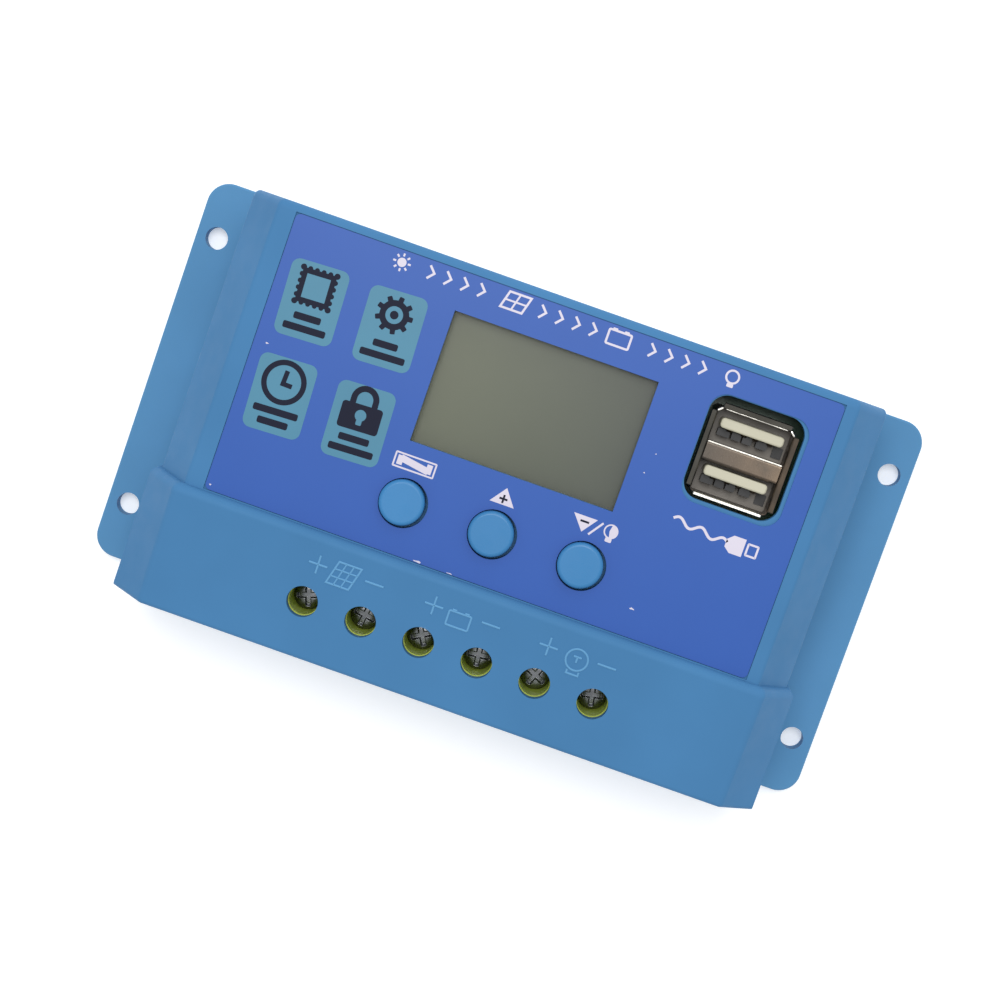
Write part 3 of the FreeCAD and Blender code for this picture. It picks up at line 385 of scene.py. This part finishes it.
def finish_cad():
    """Every CAD node's finish, by the start of its name."""
    finishes = {
        "base_plate": lit_base_plastic, "top_cover": case_plastic, "front_label": label_sheet,
        "display_window": window_film, "lcd_front_glass": display_face, "lcd_rear_glass": display_face,
        "lcd_backlight": light_guide, "lcd_frame": white_plastic, "lcd_pins": tinned_copper,
        "button_cap": button_plastic, "plunger": black_plastic, "switch_housings": black_plastic,
        "switch_covers": zinc_steel, "switch_legs": tinned_copper, "switch_domes": zinc_steel,
        "usb_shell": socket_steel, "usb_insulator": tongue_plastic, "usb_contacts": shaded_contact_metal,
        "terminal_housings": terminal_plastic, "terminal_screw": screw_steel, "clamp_cage": zinc_steel,
        "terminal_busbars": tinned_copper, "power_board": board_lacquer, "control_board": board_lacquer,
        "board_spacers": white_plastic, "spacer_screws": zinc_steel, "power_board_screws": zinc_steel,
        "case_screws": zinc_steel, "heat_sink_screws": zinc_steel, "heat_sink": sink_aluminium,
        "mosfet_bodies": black_plastic, "mosfet_tabs": zinc_steel, "choke_core": ferrite_black,
        "choke_coil": winding_copper, "regulator_chip": black_plastic, "microcontroller": black_plastic,
        "crystal": zinc_steel, "board_socket": black_plastic, "board_header": black_plastic,
        "shunt_resistor": tinned_copper, "power_diodes": black_plastic, "bulk_capacitors": can_sleeve,
        "small_parts": black_plastic,
    }
    for name, node in cad.items():
        stems = [stem for stem in finishes if name.startswith(stem)]
        finish = finishes[max(stems, key=len)]
        for slot in node.material_slots:
            slot.material = finish.material


finish_cad()

# ---- Power sockets

PORTS_LOW, PORTS_HIGH = (np.array(corner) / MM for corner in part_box("usb_shell"))
PORTS_X, PORTS_Y = (PORTS_LOW[:2] + PORTS_HIGH[:2]) / 2
FLARE, SHEET = 0.8, 0.3
TUBE_WIDE, TUBE_DEEP = PORTS_HIGH[:2] - PORTS_LOW[:2] - 2 * FLARE
MOUTH = PORTS_HIGH[2] - FLARE
PORT_FLOOR = MOUTH - 4.8
DIVIDER_LOW, DIVIDER_HIGH = PORTS_Y - 1.85, PORTS_Y + 1.45
PORT_PITCH, TONGUE_FORWARD, LIP_STOP = 8.2, 0.85, 0.9
TONGUE_LONG, TONGUE_THICK = 10.9, 1.75


def prism(levels):
    """A solid of flat outlines with equally many points, each at its own height."""
    return closed_tube(np.stack([
        np.column_stack([outline, np.full(len(outline), height)]) for outline, height in levels
    ]))


def bar(section, start, end, soft=0.12):
    """A sideways x height section carried from start to end, drawn in a little at both ends."""
    start, end = np.array(start, float), np.array(end, float)
    length = np.linalg.norm(end - start)
    along = (end - start) / length
    aside = np.array([along[1], -along[0]])
    middle = section.mean(0)
    rings = []
    for distance, share in ((0, 0.8), (soft, 1), (length - soft, 1), (length, 0.8)):
        shaped = middle + (section - middle) * share
        flat = start + along * distance + aside * shaped[:, :1]
        rings.append(np.column_stack([flat, shaped[:, 1]]))
    return closed_tube(np.stack(rings))


def sheet_section(path, thick=SHEET):
    """The outline of bent sheet: both sides of its middle line, thick apart."""
    left, right = stroke(path, thick)
    return np.vstack([left, right[::-1]])


def lip_section(reach):
    """Up the tube's wall, outwards round a bend of 65 degrees, then straight for a reach."""
    bend = arc(0.55 - SHEET / 2, MOUTH - 0.35, 0.55, 180, 115, 9)
    rim = bend[-1] + np.array([math.cos(math.radians(25)), math.sin(math.radians(25))]) * reach
    return sheet_section(np.vstack([(-SHEET / 2, MOUTH - 0.6), bend, rim]), SHEET + 0.02)


def socket_sides():
    """Left, right, front and back edge of the tube as start and end, its outside to the right."""
    left, right = PORTS_X - TUBE_WIDE / 2, PORTS_X + TUBE_WIDE / 2
    front, back = PORTS_Y - TUBE_DEEP / 2, PORTS_Y + TUBE_DEEP / 2
    return {
        "left": ((left, back - LIP_STOP), (left, front + LIP_STOP)),
        "right": ((right, front + LIP_STOP), (right, back - LIP_STOP)),
        "front": ((left + LIP_STOP, front), (right - LIP_STOP, front)),
        "back": ((right - LIP_STOP, back), (left + LIP_STOP, back)),
    }


def socket_tube():
    """The drawn tube: an upright wall between two rounded rectangles, its mouth edge rounded."""
    heights = (PORTS_LOW[2], MOUTH - 0.3, MOUTH - 0.18, MOUTH - 0.3, PORTS_LOW[2])
    insets = (0, 0, SHEET / 2, SHEET, SHEET)
    rings = [
        np.column_stack([
            round_box(PORTS_X, PORTS_Y, TUBE_WIDE - 2 * inset, TUBE_DEEP - 2 * inset, 0.75 - inset),
            np.full(24, height),
        ])
        for inset, height in zip(insets, heights)
    ]
    return closed_ring(np.stack(rings, 1))


def port_divider():
    """Sheet bent over between the ports: two uprights and a flat top, with bends of 0.35 mm."""
    half = (DIVIDER_HIGH - DIVIDER_LOW - SHEET) / 2
    top, radius = MOUTH - 0.25, 0.35
    path = np.vstack([
        [(-half, PORT_FLOOR)], arc(radius - half, top - radius, radius, 180, 90, 7),
        arc(half - radius, top - radius, radius, 90, 0, 7), [(half, PORT_FLOOR)],
    ])
    middle = (DIVIDER_LOW + DIVIDER_HIGH) / 2
    inside = TUBE_WIDE / 2 - SHEET - 0.02
    return bar(sheet_section(path), (PORTS_X + inside, middle), (PORTS_X - inside, middle), 0.05)


def bright_edges():
    """Painted highlights: near-white bars where light glints on the divider's back bend, the back lip's edge
    and two corners.
    """
    inside = TUBE_WIDE / 2 - SHEET - 0.1
    highlight_bead = circle(0, 0, 0.13, 10)
    back_bend = highlight_bead * (1.2, 1) + (0, MOUTH - 0.27)
    back = PORTS_Y + TUBE_DEEP / 2 - 0.2
    bend_y = DIVIDER_HIGH - 0.12
    corners = []
    for side in (-1, 1):
        x, y = PORTS_X + side * (TUBE_WIDE / 2 - 0.45), PORTS_Y + TUBE_DEEP / 2 - 0.45
        start, end = (x - side * 0.45, y + 0.3), (x + side * 0.3, y - 0.35)
        corners.append(bar(highlight_bead * (1.5, 1) + (0, MOUTH), start, end))
    return corners + [
        bar(back_bend, (PORTS_X - inside, bend_y), (PORTS_X + inside, bend_y)),
        bar(highlight_bead * 0.9 + (0, MOUTH - 0.05), (PORTS_X - 5.3, back), (PORTS_X + 5.3, back)),
    ]


def port_floor():
    """The dark plate at the bottom of both ports."""
    inside = round_box(PORTS_X, PORTS_Y, TUBE_WIDE - 2 * SHEET, TUBE_DEEP - 2 * SHEET, 0.4)
    return prism([(inside, PORT_FLOOR - 1.2), (inside, PORT_FLOOR)])


def port_tongues():
    """In each port a bar with half-round ends and a soft top edge."""
    tongues = []
    for side in (-1, 1):
        y = PORTS_Y + TONGUE_FORWARD + side * PORT_PITCH / 2
        levels = ((0, PORT_FLOOR), (0, MOUTH - 0.75), (0.08, MOUTH - 0.5), (0.28, MOUTH - 0.4))
        tongues.append(prism([
            (round_box(PORTS_X, y, TONGUE_LONG - 2 * inset, TONGUE_THICK - 2 * inset, 0.62 - inset), height)
            for inset, height in levels
        ]))
    return tongues


def painted_contact_shadows():
    """Painted shadow: dark blocks in front of each tongue where the contact springs' shade falls, the outer
    ones wider, and one at the right end; and a dark line along the divider's front edge for the shade in its
    gap.
    """
    dark_blocks = []
    for side in (-1, 1):
        y = PORTS_Y + TONGUE_FORWARD + side * PORT_PITCH / 2 - 1.65
        for x, wide in ((-4.3, 2.1), (-2.1, 1.6), (-0.2, 1.6), (2.3, 1.9)):
            dark_block = round_box(PORTS_X + x, y, wide, 1.25, 0.12)
            dark_blocks.append(prism([(dark_block, PORT_FLOOR - 0.4), (dark_block, PORT_FLOOR + 2.2)]))
        end = round_box(PORTS_X + 5.3, y - 0.35, 1.7, 1.9, 0.12)
        dark_blocks.append(prism([(end, PORT_FLOOR - 0.4), (end, PORT_FLOOR + 0.3)]))
    shadow_line_y, shadow_line_half = DIVIDER_LOW + 0.5, TUBE_WIDE / 2 - 0.9
    shadow_line = circle(0, MOUTH - 0.25, 0.1, 8)
    dark_blocks.append(bar(shadow_line, (PORTS_X - shadow_line_half, shadow_line_y), (PORTS_X + shadow_line_half, shadow_line_y)))
    return dark_blocks


def contact_springs():
    """Four strips in each port up the tongue's front face, bowed forward most at mid height."""
    springs = []
    for side in (-1, 1):
        face = PORTS_Y + TONGUE_FORWARD + side * PORT_PITCH / 2 - 0.95
        for x in (-3.5, -1, 1, 3.5):
            rise = np.linspace(0, 1, 12)
            bow = np.stack([0.35 * np.sin(rise * math.pi), PORT_FLOOR + 2.9 * rise], -1)
            springs.append(bar(sheet_section(bow, 0.2), (PORTS_X + x - 0.5, face), (PORTS_X + x + 0.5, face)))
    return springs


def build_sockets():
    sides = socket_sides()
    right = bar(lip_section(0.62), *sides["right"])
    shell = as_piece("usb_shell_bent", [socket_tube(), port_divider(), right], socket_steel.material)
    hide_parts("usb_shell")
    # The left and back lips take the grey painted-reflection copy of the steel.
    grey = [bar(lip_section(0.62), *sides[side]) for side in ("left", "back")]
    as_piece("usb_shell_lips", grey, lip_reflection_grey.material)
    # The front lip is drawn in the near-white highlight metal as a painted highlight.
    front = bar(lip_section(0.2), *sides["front"])
    edges = as_piece("usb_shell_edges", bright_edges() + [front], highlight_metal.material)
    tongues = as_piece("usb_tongues", port_tongues(), tongue_plastic.material)
    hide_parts("usb_insulator")
    floor = as_piece("usb_port_floor", [port_floor()], socket_floor.material)
    contact_shadows = as_piece("usb_contact_shadows", painted_contact_shadows(), shadow_dark_plastic.material)
    springs = as_piece("usb_contact_springs", contact_springs(), shaded_contact_metal.material)
    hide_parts("usb_contacts")


build_sockets()

# ---- Terminal screws

POLES = range(1, 7)
THREAD_PITCH, THREAD_DEPTH = 0.7, 0.12
CROSS_LONG, CROSS_WIDE, CROSS_DEEP = 1.8, 0.42, 0.75


def eased(value):
    """0 below 0, 1 above 1, and 3 v^2 - 2 v^3 between."""
    value = np.clip(value, 0, 1)
    return value * value * (3 - 2 * value)


def screw_solid(x, y, low, neck, top, shank, head):
    """A threaded shank under a pan head with a cross recess, turned about an upright axis.

    Shank: radius r - d |1 - 2 frac(z / pitch - a / 2 pi)|. Crown: height top - 0.7 (r / head)^4, less the
    recess, which is CROSS_DEEP where the nearer axis is under CROSS_WIDE away and falls off at its sides.
    """
    angle = np.linspace(0, 2 * math.pi, 97)[:-1]
    height = np.linspace(low, neck - 0.35, 84)[:, None]
    ridge = np.abs(1 - 2 * ((height / THREAD_PITCH - angle / (2 * math.pi)) % 1))
    tip = eased((height - low) / 0.5) * 0.35 + 0.65
    radius = (shank - THREAD_DEPTH * ridge) * tip
    wall = [np.stack([radius * np.cos(angle), radius * np.sin(angle), height + 0 * angle], -1)]
    profile = [(shank - 0.15, neck - 0.1), (shank - 0.1, neck), (head - 0.12, neck), (head, neck + 0.12)]
    profile += [(head, top - 0.95), (head - 0.02, top - 0.8)]
    rows = np.array(profile)
    wall.append(np.stack([
        rows[:, :1] * np.cos(angle), rows[:, :1] * np.sin(angle), rows[:, 1:] + 0 * angle,
    ], -1))
    reach = np.linspace(head - 0.05, 0.03, 44)[:, None]
    east, north = reach * np.cos(angle), reach * np.sin(angle)
    crown = top - 0.7 * (reach / head) ** 4
    nearer = np.minimum(np.abs(east), np.abs(north))
    cut = eased((CROSS_WIDE - nearer) / 0.14 + 0.5) * eased((CROSS_LONG - reach) / 0.35 + 0.5)
    wall.append(np.stack([east, north, crown - CROSS_DEEP * cut], -1))
    points, faces = closed_tube(np.vstack(wall))
    return points + (x, y, 0), faces


def build_screws():
    """Each driver screw, its cross left at its own angle."""
    for pole, twist in zip(POLES, (18, -9, 31, 6, -24, 12)):
        name = f"terminal_screw_{pole}"
        low, high = (np.array(corner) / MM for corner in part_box(name))
        middle = (low + high) / 2
        head = (high[0] - low[0]) / 2
        points, faces = screw_solid(0, 0, low[2], high[2] - 1.8, high[2], 2.0, head)
        placed = np.column_stack([turned(points[:, :2], twist, *middle[:2]), points[:, 2]])
        solid = [(placed, faces)]
        screw = as_piece(f"driver_screw_{pole}", solid, screw_steel.material, f"screw_{pole}", True)
        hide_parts(name)


build_screws()

# ---- Print on the label

LABEL_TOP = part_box("front_label")[1].z / MM
PRINT_LOW, PRINT_HIGH = -0.02, 0.02
INK_HIGH, OVERLAP = 0.035, 0.006


def label_plane(x, y):
    return np.full_like(x, LABEL_TOP)


def print_line(path, width, high=PRINT_HIGH, closed=False):
    return line_solid(path, width, label_plane, PRINT_LOW, high, 0.0, closed)


def print_patch(outline, high=PRINT_HIGH):
    return patch_solid(np.asarray(outline, float), label_plane, PRINT_LOW, high)


def print_band(inner, outer, high=PRINT_HIGH):
    return band_solid(inner, outer, label_plane, PRINT_LOW, high)


TILE_WIDE, TILE_TALL, TILE_TURN = 9.8, 12.7, 2.4
TILE_PLACES = {"chip": (-39.8, 21.1), "gear": (-26.3, 21.2), "clock": (-39.8, 4.9), "lock": (-26.2, 4.9)}
CAPTIONS = {"chip": (4.6, 7.2), "gear": (4.2, 7.6), "clock": (7.6, 5.2), "lock": (5.2, 7.6)}


def on_tile(points, tile):
    return turned(points, TILE_TURN, *TILE_PLACES[tile])


def chip_icon():
    """A square frame with five round pads a side, the first one on the corner."""
    def square(half):
        return turned(np.array([(half, half), (-half, half), (-half, -half), (half, -half)]), 0) + (0, 2.35)

    marks = [print_band(on_tile(square(2.0), "chip"), on_tile(square(2.85), "chip"), INK_HIGH)]
    for side in range(4):
        for pad in range(5):
            place = turned([(2.85, -2.85 + 1.14 * pad)], 90 * side, 0, 2.35)[0]
            round_pad = circle(*place, 0.5 if pad == 0 else 0.4, 20)
            marks.append(print_patch(on_tile(round_pad, "chip"), INK_HIGH + OVERLAP))
    return marks


def gear_icon():
    """A toothed ring: radius 2.45 + 0.7 where cos(9 a) is high, with an open ring and a dot."""
    angle = np.linspace(0, 2 * math.pi, 289)[:-1]
    reach = 2.45 + 0.7 / (1 + np.exp(-14 * (np.cos(9 * angle) - 0.2)))
    outer = np.stack([reach * np.cos(angle), reach * np.sin(angle)], -1) + (0, 2.4)
    inner = circle(0, 2.4, 1.45, 288)
    return [
        print_band(on_tile(inner, "gear"), on_tile(outer, "gear"), INK_HIGH),
        print_patch(on_tile(circle(0, 2.4, 0.7), "gear"), INK_HIGH),
    ]


def clock_icon():
    """A ring and two hands."""
    hands = np.array([(0.1, 2.0), (-0.1, -0.25), (1.45, -0.35)]) + (0, 2.3)
    return [
        print_band(on_tile(circle(0, 2.3, 2.85), "clock"), on_tile(circle(0, 2.3, 3.75), "clock"), INK_HIGH),
        print_line(on_tile(hands, "clock"), 0.78, INK_HIGH),
    ]


def lock_icon():
    """A solid body, and a half-round shackle above it."""
    shackle = np.vstack([[(-1.85, 2.6)], arc(0, 4.0, 1.85, 180, 0, 25), [(1.85, 2.6)]])
    return [
        print_patch(on_tile(round_box(0, 0.95, 6.9, 4.4, 0.55), "lock"), INK_HIGH),
        print_line(on_tile(shackle, "lock"), 1.0, INK_HIGH + OVERLAP),
    ]


def keyhole():
    """A disc over a short slot, in the tile's own colour."""
    return [
        print_patch(on_tile(circle(0, 1.35, 0.95), "lock"), INK_HIGH + 2 * OVERLAP),
        print_patch(on_tile(round_box(0, 0.35, 0.95, 1.3, 0.2), "lock"), INK_HIGH + 3 * OVERLAP),
    ]


def caption_bars():
    """Two plain bars under each icon, in place of words."""
    bars = []
    for tile, widths in CAPTIONS.items():
        for width, y in zip(widths, (-2.7, -4.6)):
            bars.append(print_patch(on_tile(round_box(0, y, width, 1.15, 0.3), tile), INK_HIGH))
    return bars


tiles = [print_patch(on_tile(round_box(0, 0, TILE_WIDE, TILE_TALL, 1.4), tile)) for tile in TILE_PLACES]
as_piece("label_tiles", tiles, tile_ink.material)
icons = chip_icon() + gear_icon() + clock_icon() + lock_icon()
as_piece("label_icons", icons + caption_bars(), dark_ink.material)
as_piece("label_keyhole", keyhole(), tile_ink.material)


def sun_mark(x, y):
    """A disc and eight rays."""
    rays = [
        print_line(turned([(1.0, 0.0), (1.5, 0.0)], 45 * k, x, y), 0.32)
        for k in range(8)
    ]
    return [print_patch(circle(x, y, 0.75))] + rays


def title_row():
    """The flow of energy as a row of marks: sun, panel, battery and lamp with arrows between."""
    y = 32.1
    marks = sun_mark(-28.0, y)
    panel = [(-10.6, y - 1.4), (-6.9, y - 1.4), (-6.1, y + 1.4), (-9.8, y + 1.4)]
    marks.append(print_line(panel, 0.36, closed=True))
    marks.append(print_line([(-10.2, y), (-6.5, y)], 0.3, PRINT_HIGH + OVERLAP))
    marks.append(print_line([(-8.75, y - 1.4), (-7.95, y + 1.4)], 0.3, PRINT_HIGH + 2 * OVERLAP))
    marks.append(print_line(round_box(9.4, y - 0.1, 3.8, 2.4, 0.2), 0.36, closed=True))
    marks.append(print_patch(round_box(8.4, y + 1.25, 0.8, 0.5, 0.1), PRINT_HIGH + OVERLAP))
    marks.append(print_patch(round_box(10.4, y + 1.25, 0.8, 0.5, 0.1), PRINT_HIGH + OVERLAP))
    marks.append(print_line(circle(28.9, y + 0.25, 1.05), 0.34, closed=True))
    marks.append(print_patch(round_box(28.9, y - 1.2, 1.1, 0.6, 0.15), PRINT_HIGH + OVERLAP))
    for start in (-23.4, -4.15, 14.7):
        for k in range(4):
            x = start + 2.9 * k
            marks.append(print_line([(x, y + 1.1), (x + 1.0, y), (x, y - 1.1)], 0.38))
    return marks


LAMP_X, LAMP_Y = 18.75, 1.95


def button_marks():
    """The signs above the buttons: a broken panel, up with plus, down with minus, a slash and a lamp."""
    middle = (LAMP_X, LAMP_Y)
    half_lamp = np.vstack([arc(*middle, 1.15, 90, -90, 25), [(LAMP_X - 0.25, LAMP_Y)]])
    return [
        print_line(round_box(-15.25, 1.6, 6.9, 2.35, 0.1), 0.28, closed=True),
        print_line([(-17.75, 0.8), (-17.75, 2.4)], 0.95),
        print_line([(-17.7, 2.0), (-12.8, 1.2)], 1.15, PRINT_HIGH + OVERLAP),
        print_line([(-12.75, 0.8), (-12.75, 2.4)], 0.95),
        print_patch([(-1.75, 0.2), (2.45, 0.2), (0.35, 3.05)]),
        print_patch([(12.0, 3.0), (16.1, 3.0), (14.15, 0.35)]),
        print_line([(15.35, 0.3), (17.15, 2.85)], 0.34),
        print_line(circle(*middle, 1.1), 0.24, PRINT_HIGH + OVERLAP, True),
        print_patch(half_lamp),
        print_patch(round_box(LAMP_X, LAMP_Y - 1.45, 1.1, 0.75, 0.2), PRINT_HIGH + 2 * OVERLAP),
    ]


def button_signs():
    """Plus and minus, printed dark in the white triangles."""
    return [
        print_line([(-0.35, 1.15), (1.05, 1.15)], 0.34, INK_HIGH),
        print_line([(0.35, 0.45), (0.35, 1.85)], 0.34, INK_HIGH + OVERLAP),
        print_line([(13.4, 2.1), (14.9, 2.1)], 0.34, INK_HIGH),
    ]


def plug_mark():
    """A plug with its collar, and its lead as a falling wave."""
    across = np.linspace(27.6, 37.2, 60)
    lead = np.stack([across, 7.55 - 0.11 * (across - 27.6) + 0.55 * np.sin((across - 27.6) * 1.6)], -1)
    body = [(37.0, 5.9), (38.0, 5.1), (40.1, 5.1), (40.1, 8.1), (38.0, 8.1), (37.0, 7.2)]
    return [
        print_line(lead, 0.45),
        print_patch(body),
        print_line(round_box(41.5, 6.6, 1.7, 1.9, 0.1), 0.34, closed=True),
    ]


PALE_SPECKS = (
    (-9.6, -13.35, 1.3, 0.3), (-4.0, -13.45, 1.0, 0.15), (26.2, -8.9, 0.8, 0.3), (-44.6, 12.4, 0.5, 0.25),
    (20.6, 12.9, 0.25, 0.2), (21.4, 16.4, 0.2, 0.2), (-46.0, -12.7, 0.35, 0.25),
)


def pale_specks():
    """Small pale ragged specks on the sheet, most of them along its front edge."""
    specks = []
    for x, y, long, wide in PALE_SPECKS:
        turn = np.linspace(0, 2 * math.pi, 15)[:-1]
        ragged = 1 + 0.25 * np.cos(3 * turn + x) + 0.15 * np.cos(5 * turn + y)
        shape = np.stack([x + long / 2 * ragged * np.cos(turn), y + wide / 2 * ragged * np.sin(turn)], -1)
        specks.append(print_patch(shape))
    return specks


as_piece("label_specks", pale_specks(), white_ink.material)
as_piece("label_marks", title_row() + button_marks() + plug_mark(), white_ink.material)
as_piece("label_signs", button_signs(), dark_ink.material)

# ---- Moulded symbols on the hood

HOOD_RIDGE_Y, HOOD_RIDGE_Z = -13.9, 35.2
HOOD_NOSE_Y, HOOD_NOSE_Z = -35.6, 32.0
ARM = 1.6


def hood_plane(x, y):
    """The hood's top: falls evenly from the ridge to the nose."""
    share = (y - HOOD_RIDGE_Y) / (HOOD_NOSE_Y - HOOD_RIDGE_Y)
    return HOOD_RIDGE_Z + (HOOD_NOSE_Z - HOOD_RIDGE_Z) * share


def rib(path, closed=False, width=0.36):
    return line_solid(path, width, hood_plane, -0.1, 0.14, 0.1, closed)


def minus(x, y):
    return [rib([(x - ARM, y), (x + ARM, y)])]


def plus(x, y):
    return minus(x, y) + [rib([(x, y - ARM), (x, y + ARM)])]


def panel_symbol(x, y):
    """A leaning grid of three by three cells."""
    def corner(across, down):
        return (x - 0.5 + across * 3.9 - down * 1.1, y + 2.0 - down * 4.0)

    lines = [rib([corner(0, 0), corner(1, 0), corner(1, 1), corner(0, 1)], True)]
    for share in (1 / 3, 2 / 3):
        lines.append(rib([corner(share, 0), corner(share, 1)], width=0.3))
        lines.append(rib([corner(0, share), corner(1, share)], width=0.3))
    return lines


def battery_symbol(x, y):
    nubs = [rib([(x + side * 1.1 - 0.4, y + 1.5), (x + side * 1.1 + 0.4, y + 1.5)]) for side in (-1, 1)]
    return [rib(round_box(x, y, 3.8, 2.5, 0.15, 2), True)] + nubs


def lamp_symbol(x, y):
    base = [(x - 1.0, y - 1.9), (x - 1.0, y - 2.6), (x + 1.0, y - 2.6), (x + 1.0, y - 1.9)]
    wire = [rib([(x - 0.7, y + 0.5), (x + 0.7, y + 0.5)]), rib([(x, y + 0.5), (x, y - 0.5)])]
    return [rib(circle(x, y, 1.85, 40), True), rib(base)] + wire


symbols = plus(-24.8, -19.1) + panel_symbol(-21.1, -19.5) + minus(-15.0, -19.1)
symbols += plus(-4.6, -19.1) + battery_symbol(0.0, -20.2) + minus(5.3, -19.1)
symbols += plus(15.4, -19.2) + lamp_symbol(20.5, -19.8) + minus(25.5, -19.2)
as_piece("hood_symbols", symbols, rib_highlight_plastic.material)

# ---- Floor, light and camera

def pale_finish():
    """White paper sweep, lifted by a little light of its own as an even studio ground is."""
    finish = Finish("pale_floor", 0.9)
    finish.colour(finish.mixed(finish.noise(3, 2.0), (0.89, 0.89, 0.89, 1.0), (0.91, 0.91, 0.91, 1.0)))
    return finish.set(Emission_Color=(1.0, 1.0, 1.0, 1.0), Emission_Strength=0.3)


def lay_floor():
    """A flat square of eight metres just under the case."""
    corners = [(-4, -4), (4, -4), (4, 4), (-4, 4)]
    mesh = bpy.data.meshes.new("floor")
    mesh.from_pydata([(x, y, -0.0001) for x, y in corners], [], [(0, 1, 2, 3)])
    mesh.materials.append(pale_finish().material)
    floor = bpy.data.objects.new("floor", mesh)
    bpy.context.scene.collection.objects.link(floor)


def soft_light(name, place, size, power):
    """A square panel of light turned towards the case."""
    data = bpy.data.lights.new(name, "AREA")
    data.shape = "SQUARE"
    data.size = size
    data.energy = power
    lamp = bpy.data.objects.new(name, data)
    lamp.location = place
    lamp.rotation_euler = (-Vector(place)).to_track_quat("-Z", "Y").to_euler()
    bpy.context.scene.collection.objects.link(lamp)


def light_room():
    world = bpy.data.worlds.new("room")
    world.use_nodes = True
    background = next(node for node in world.node_tree.nodes if node.type == "BACKGROUND")
    background.inputs["Color"].default_value = (0.98, 0.99, 1.0, 1.0)
    background.inputs["Strength"].default_value = 0.68
    bpy.context.scene.world = world
    soft_light("key", (-0.06, 0.26, 0.92), 0.45, 4.5)
    soft_light("back", (0.05, 0.75, 0.45), 0.5, 1.0)
    bpy.context.scene.view_settings.view_transform = "Standard"


SENSOR_WIDE, FOCAL_SHARE = 36.0, 2.172


def place_camera():
    """Nearly straight above, leaning back, with the picture turned clockwise."""
    eye, aim = Vector((0.0023, 0.0349, 0.3877)), Vector((-0.00036, -0.00240, 0.0))
    twist = math.radians(19.31)
    back = (eye - aim).normalized()
    side = Vector((math.cos(twist), math.sin(twist), -0.0382))
    side = (side - back * side.dot(back)).normalized()
    up = back.cross(side)
    camera = bpy.data.objects.new("camera", bpy.data.cameras.new("camera"))
    camera.data.sensor_width = SENSOR_WIDE
    camera.data.lens = SENSOR_WIDE * FOCAL_SHARE
    turn = Matrix((side, up, back)).transposed()
    camera.matrix_world = Matrix.Translation(eye) @ turn.to_4x4()
    camera.data.clip_start = 0.01
    bpy.context.scene.collection.objects.link(camera)
    bpy.context.scene.camera = camera


lay_floor()
light_room()
place_camera()
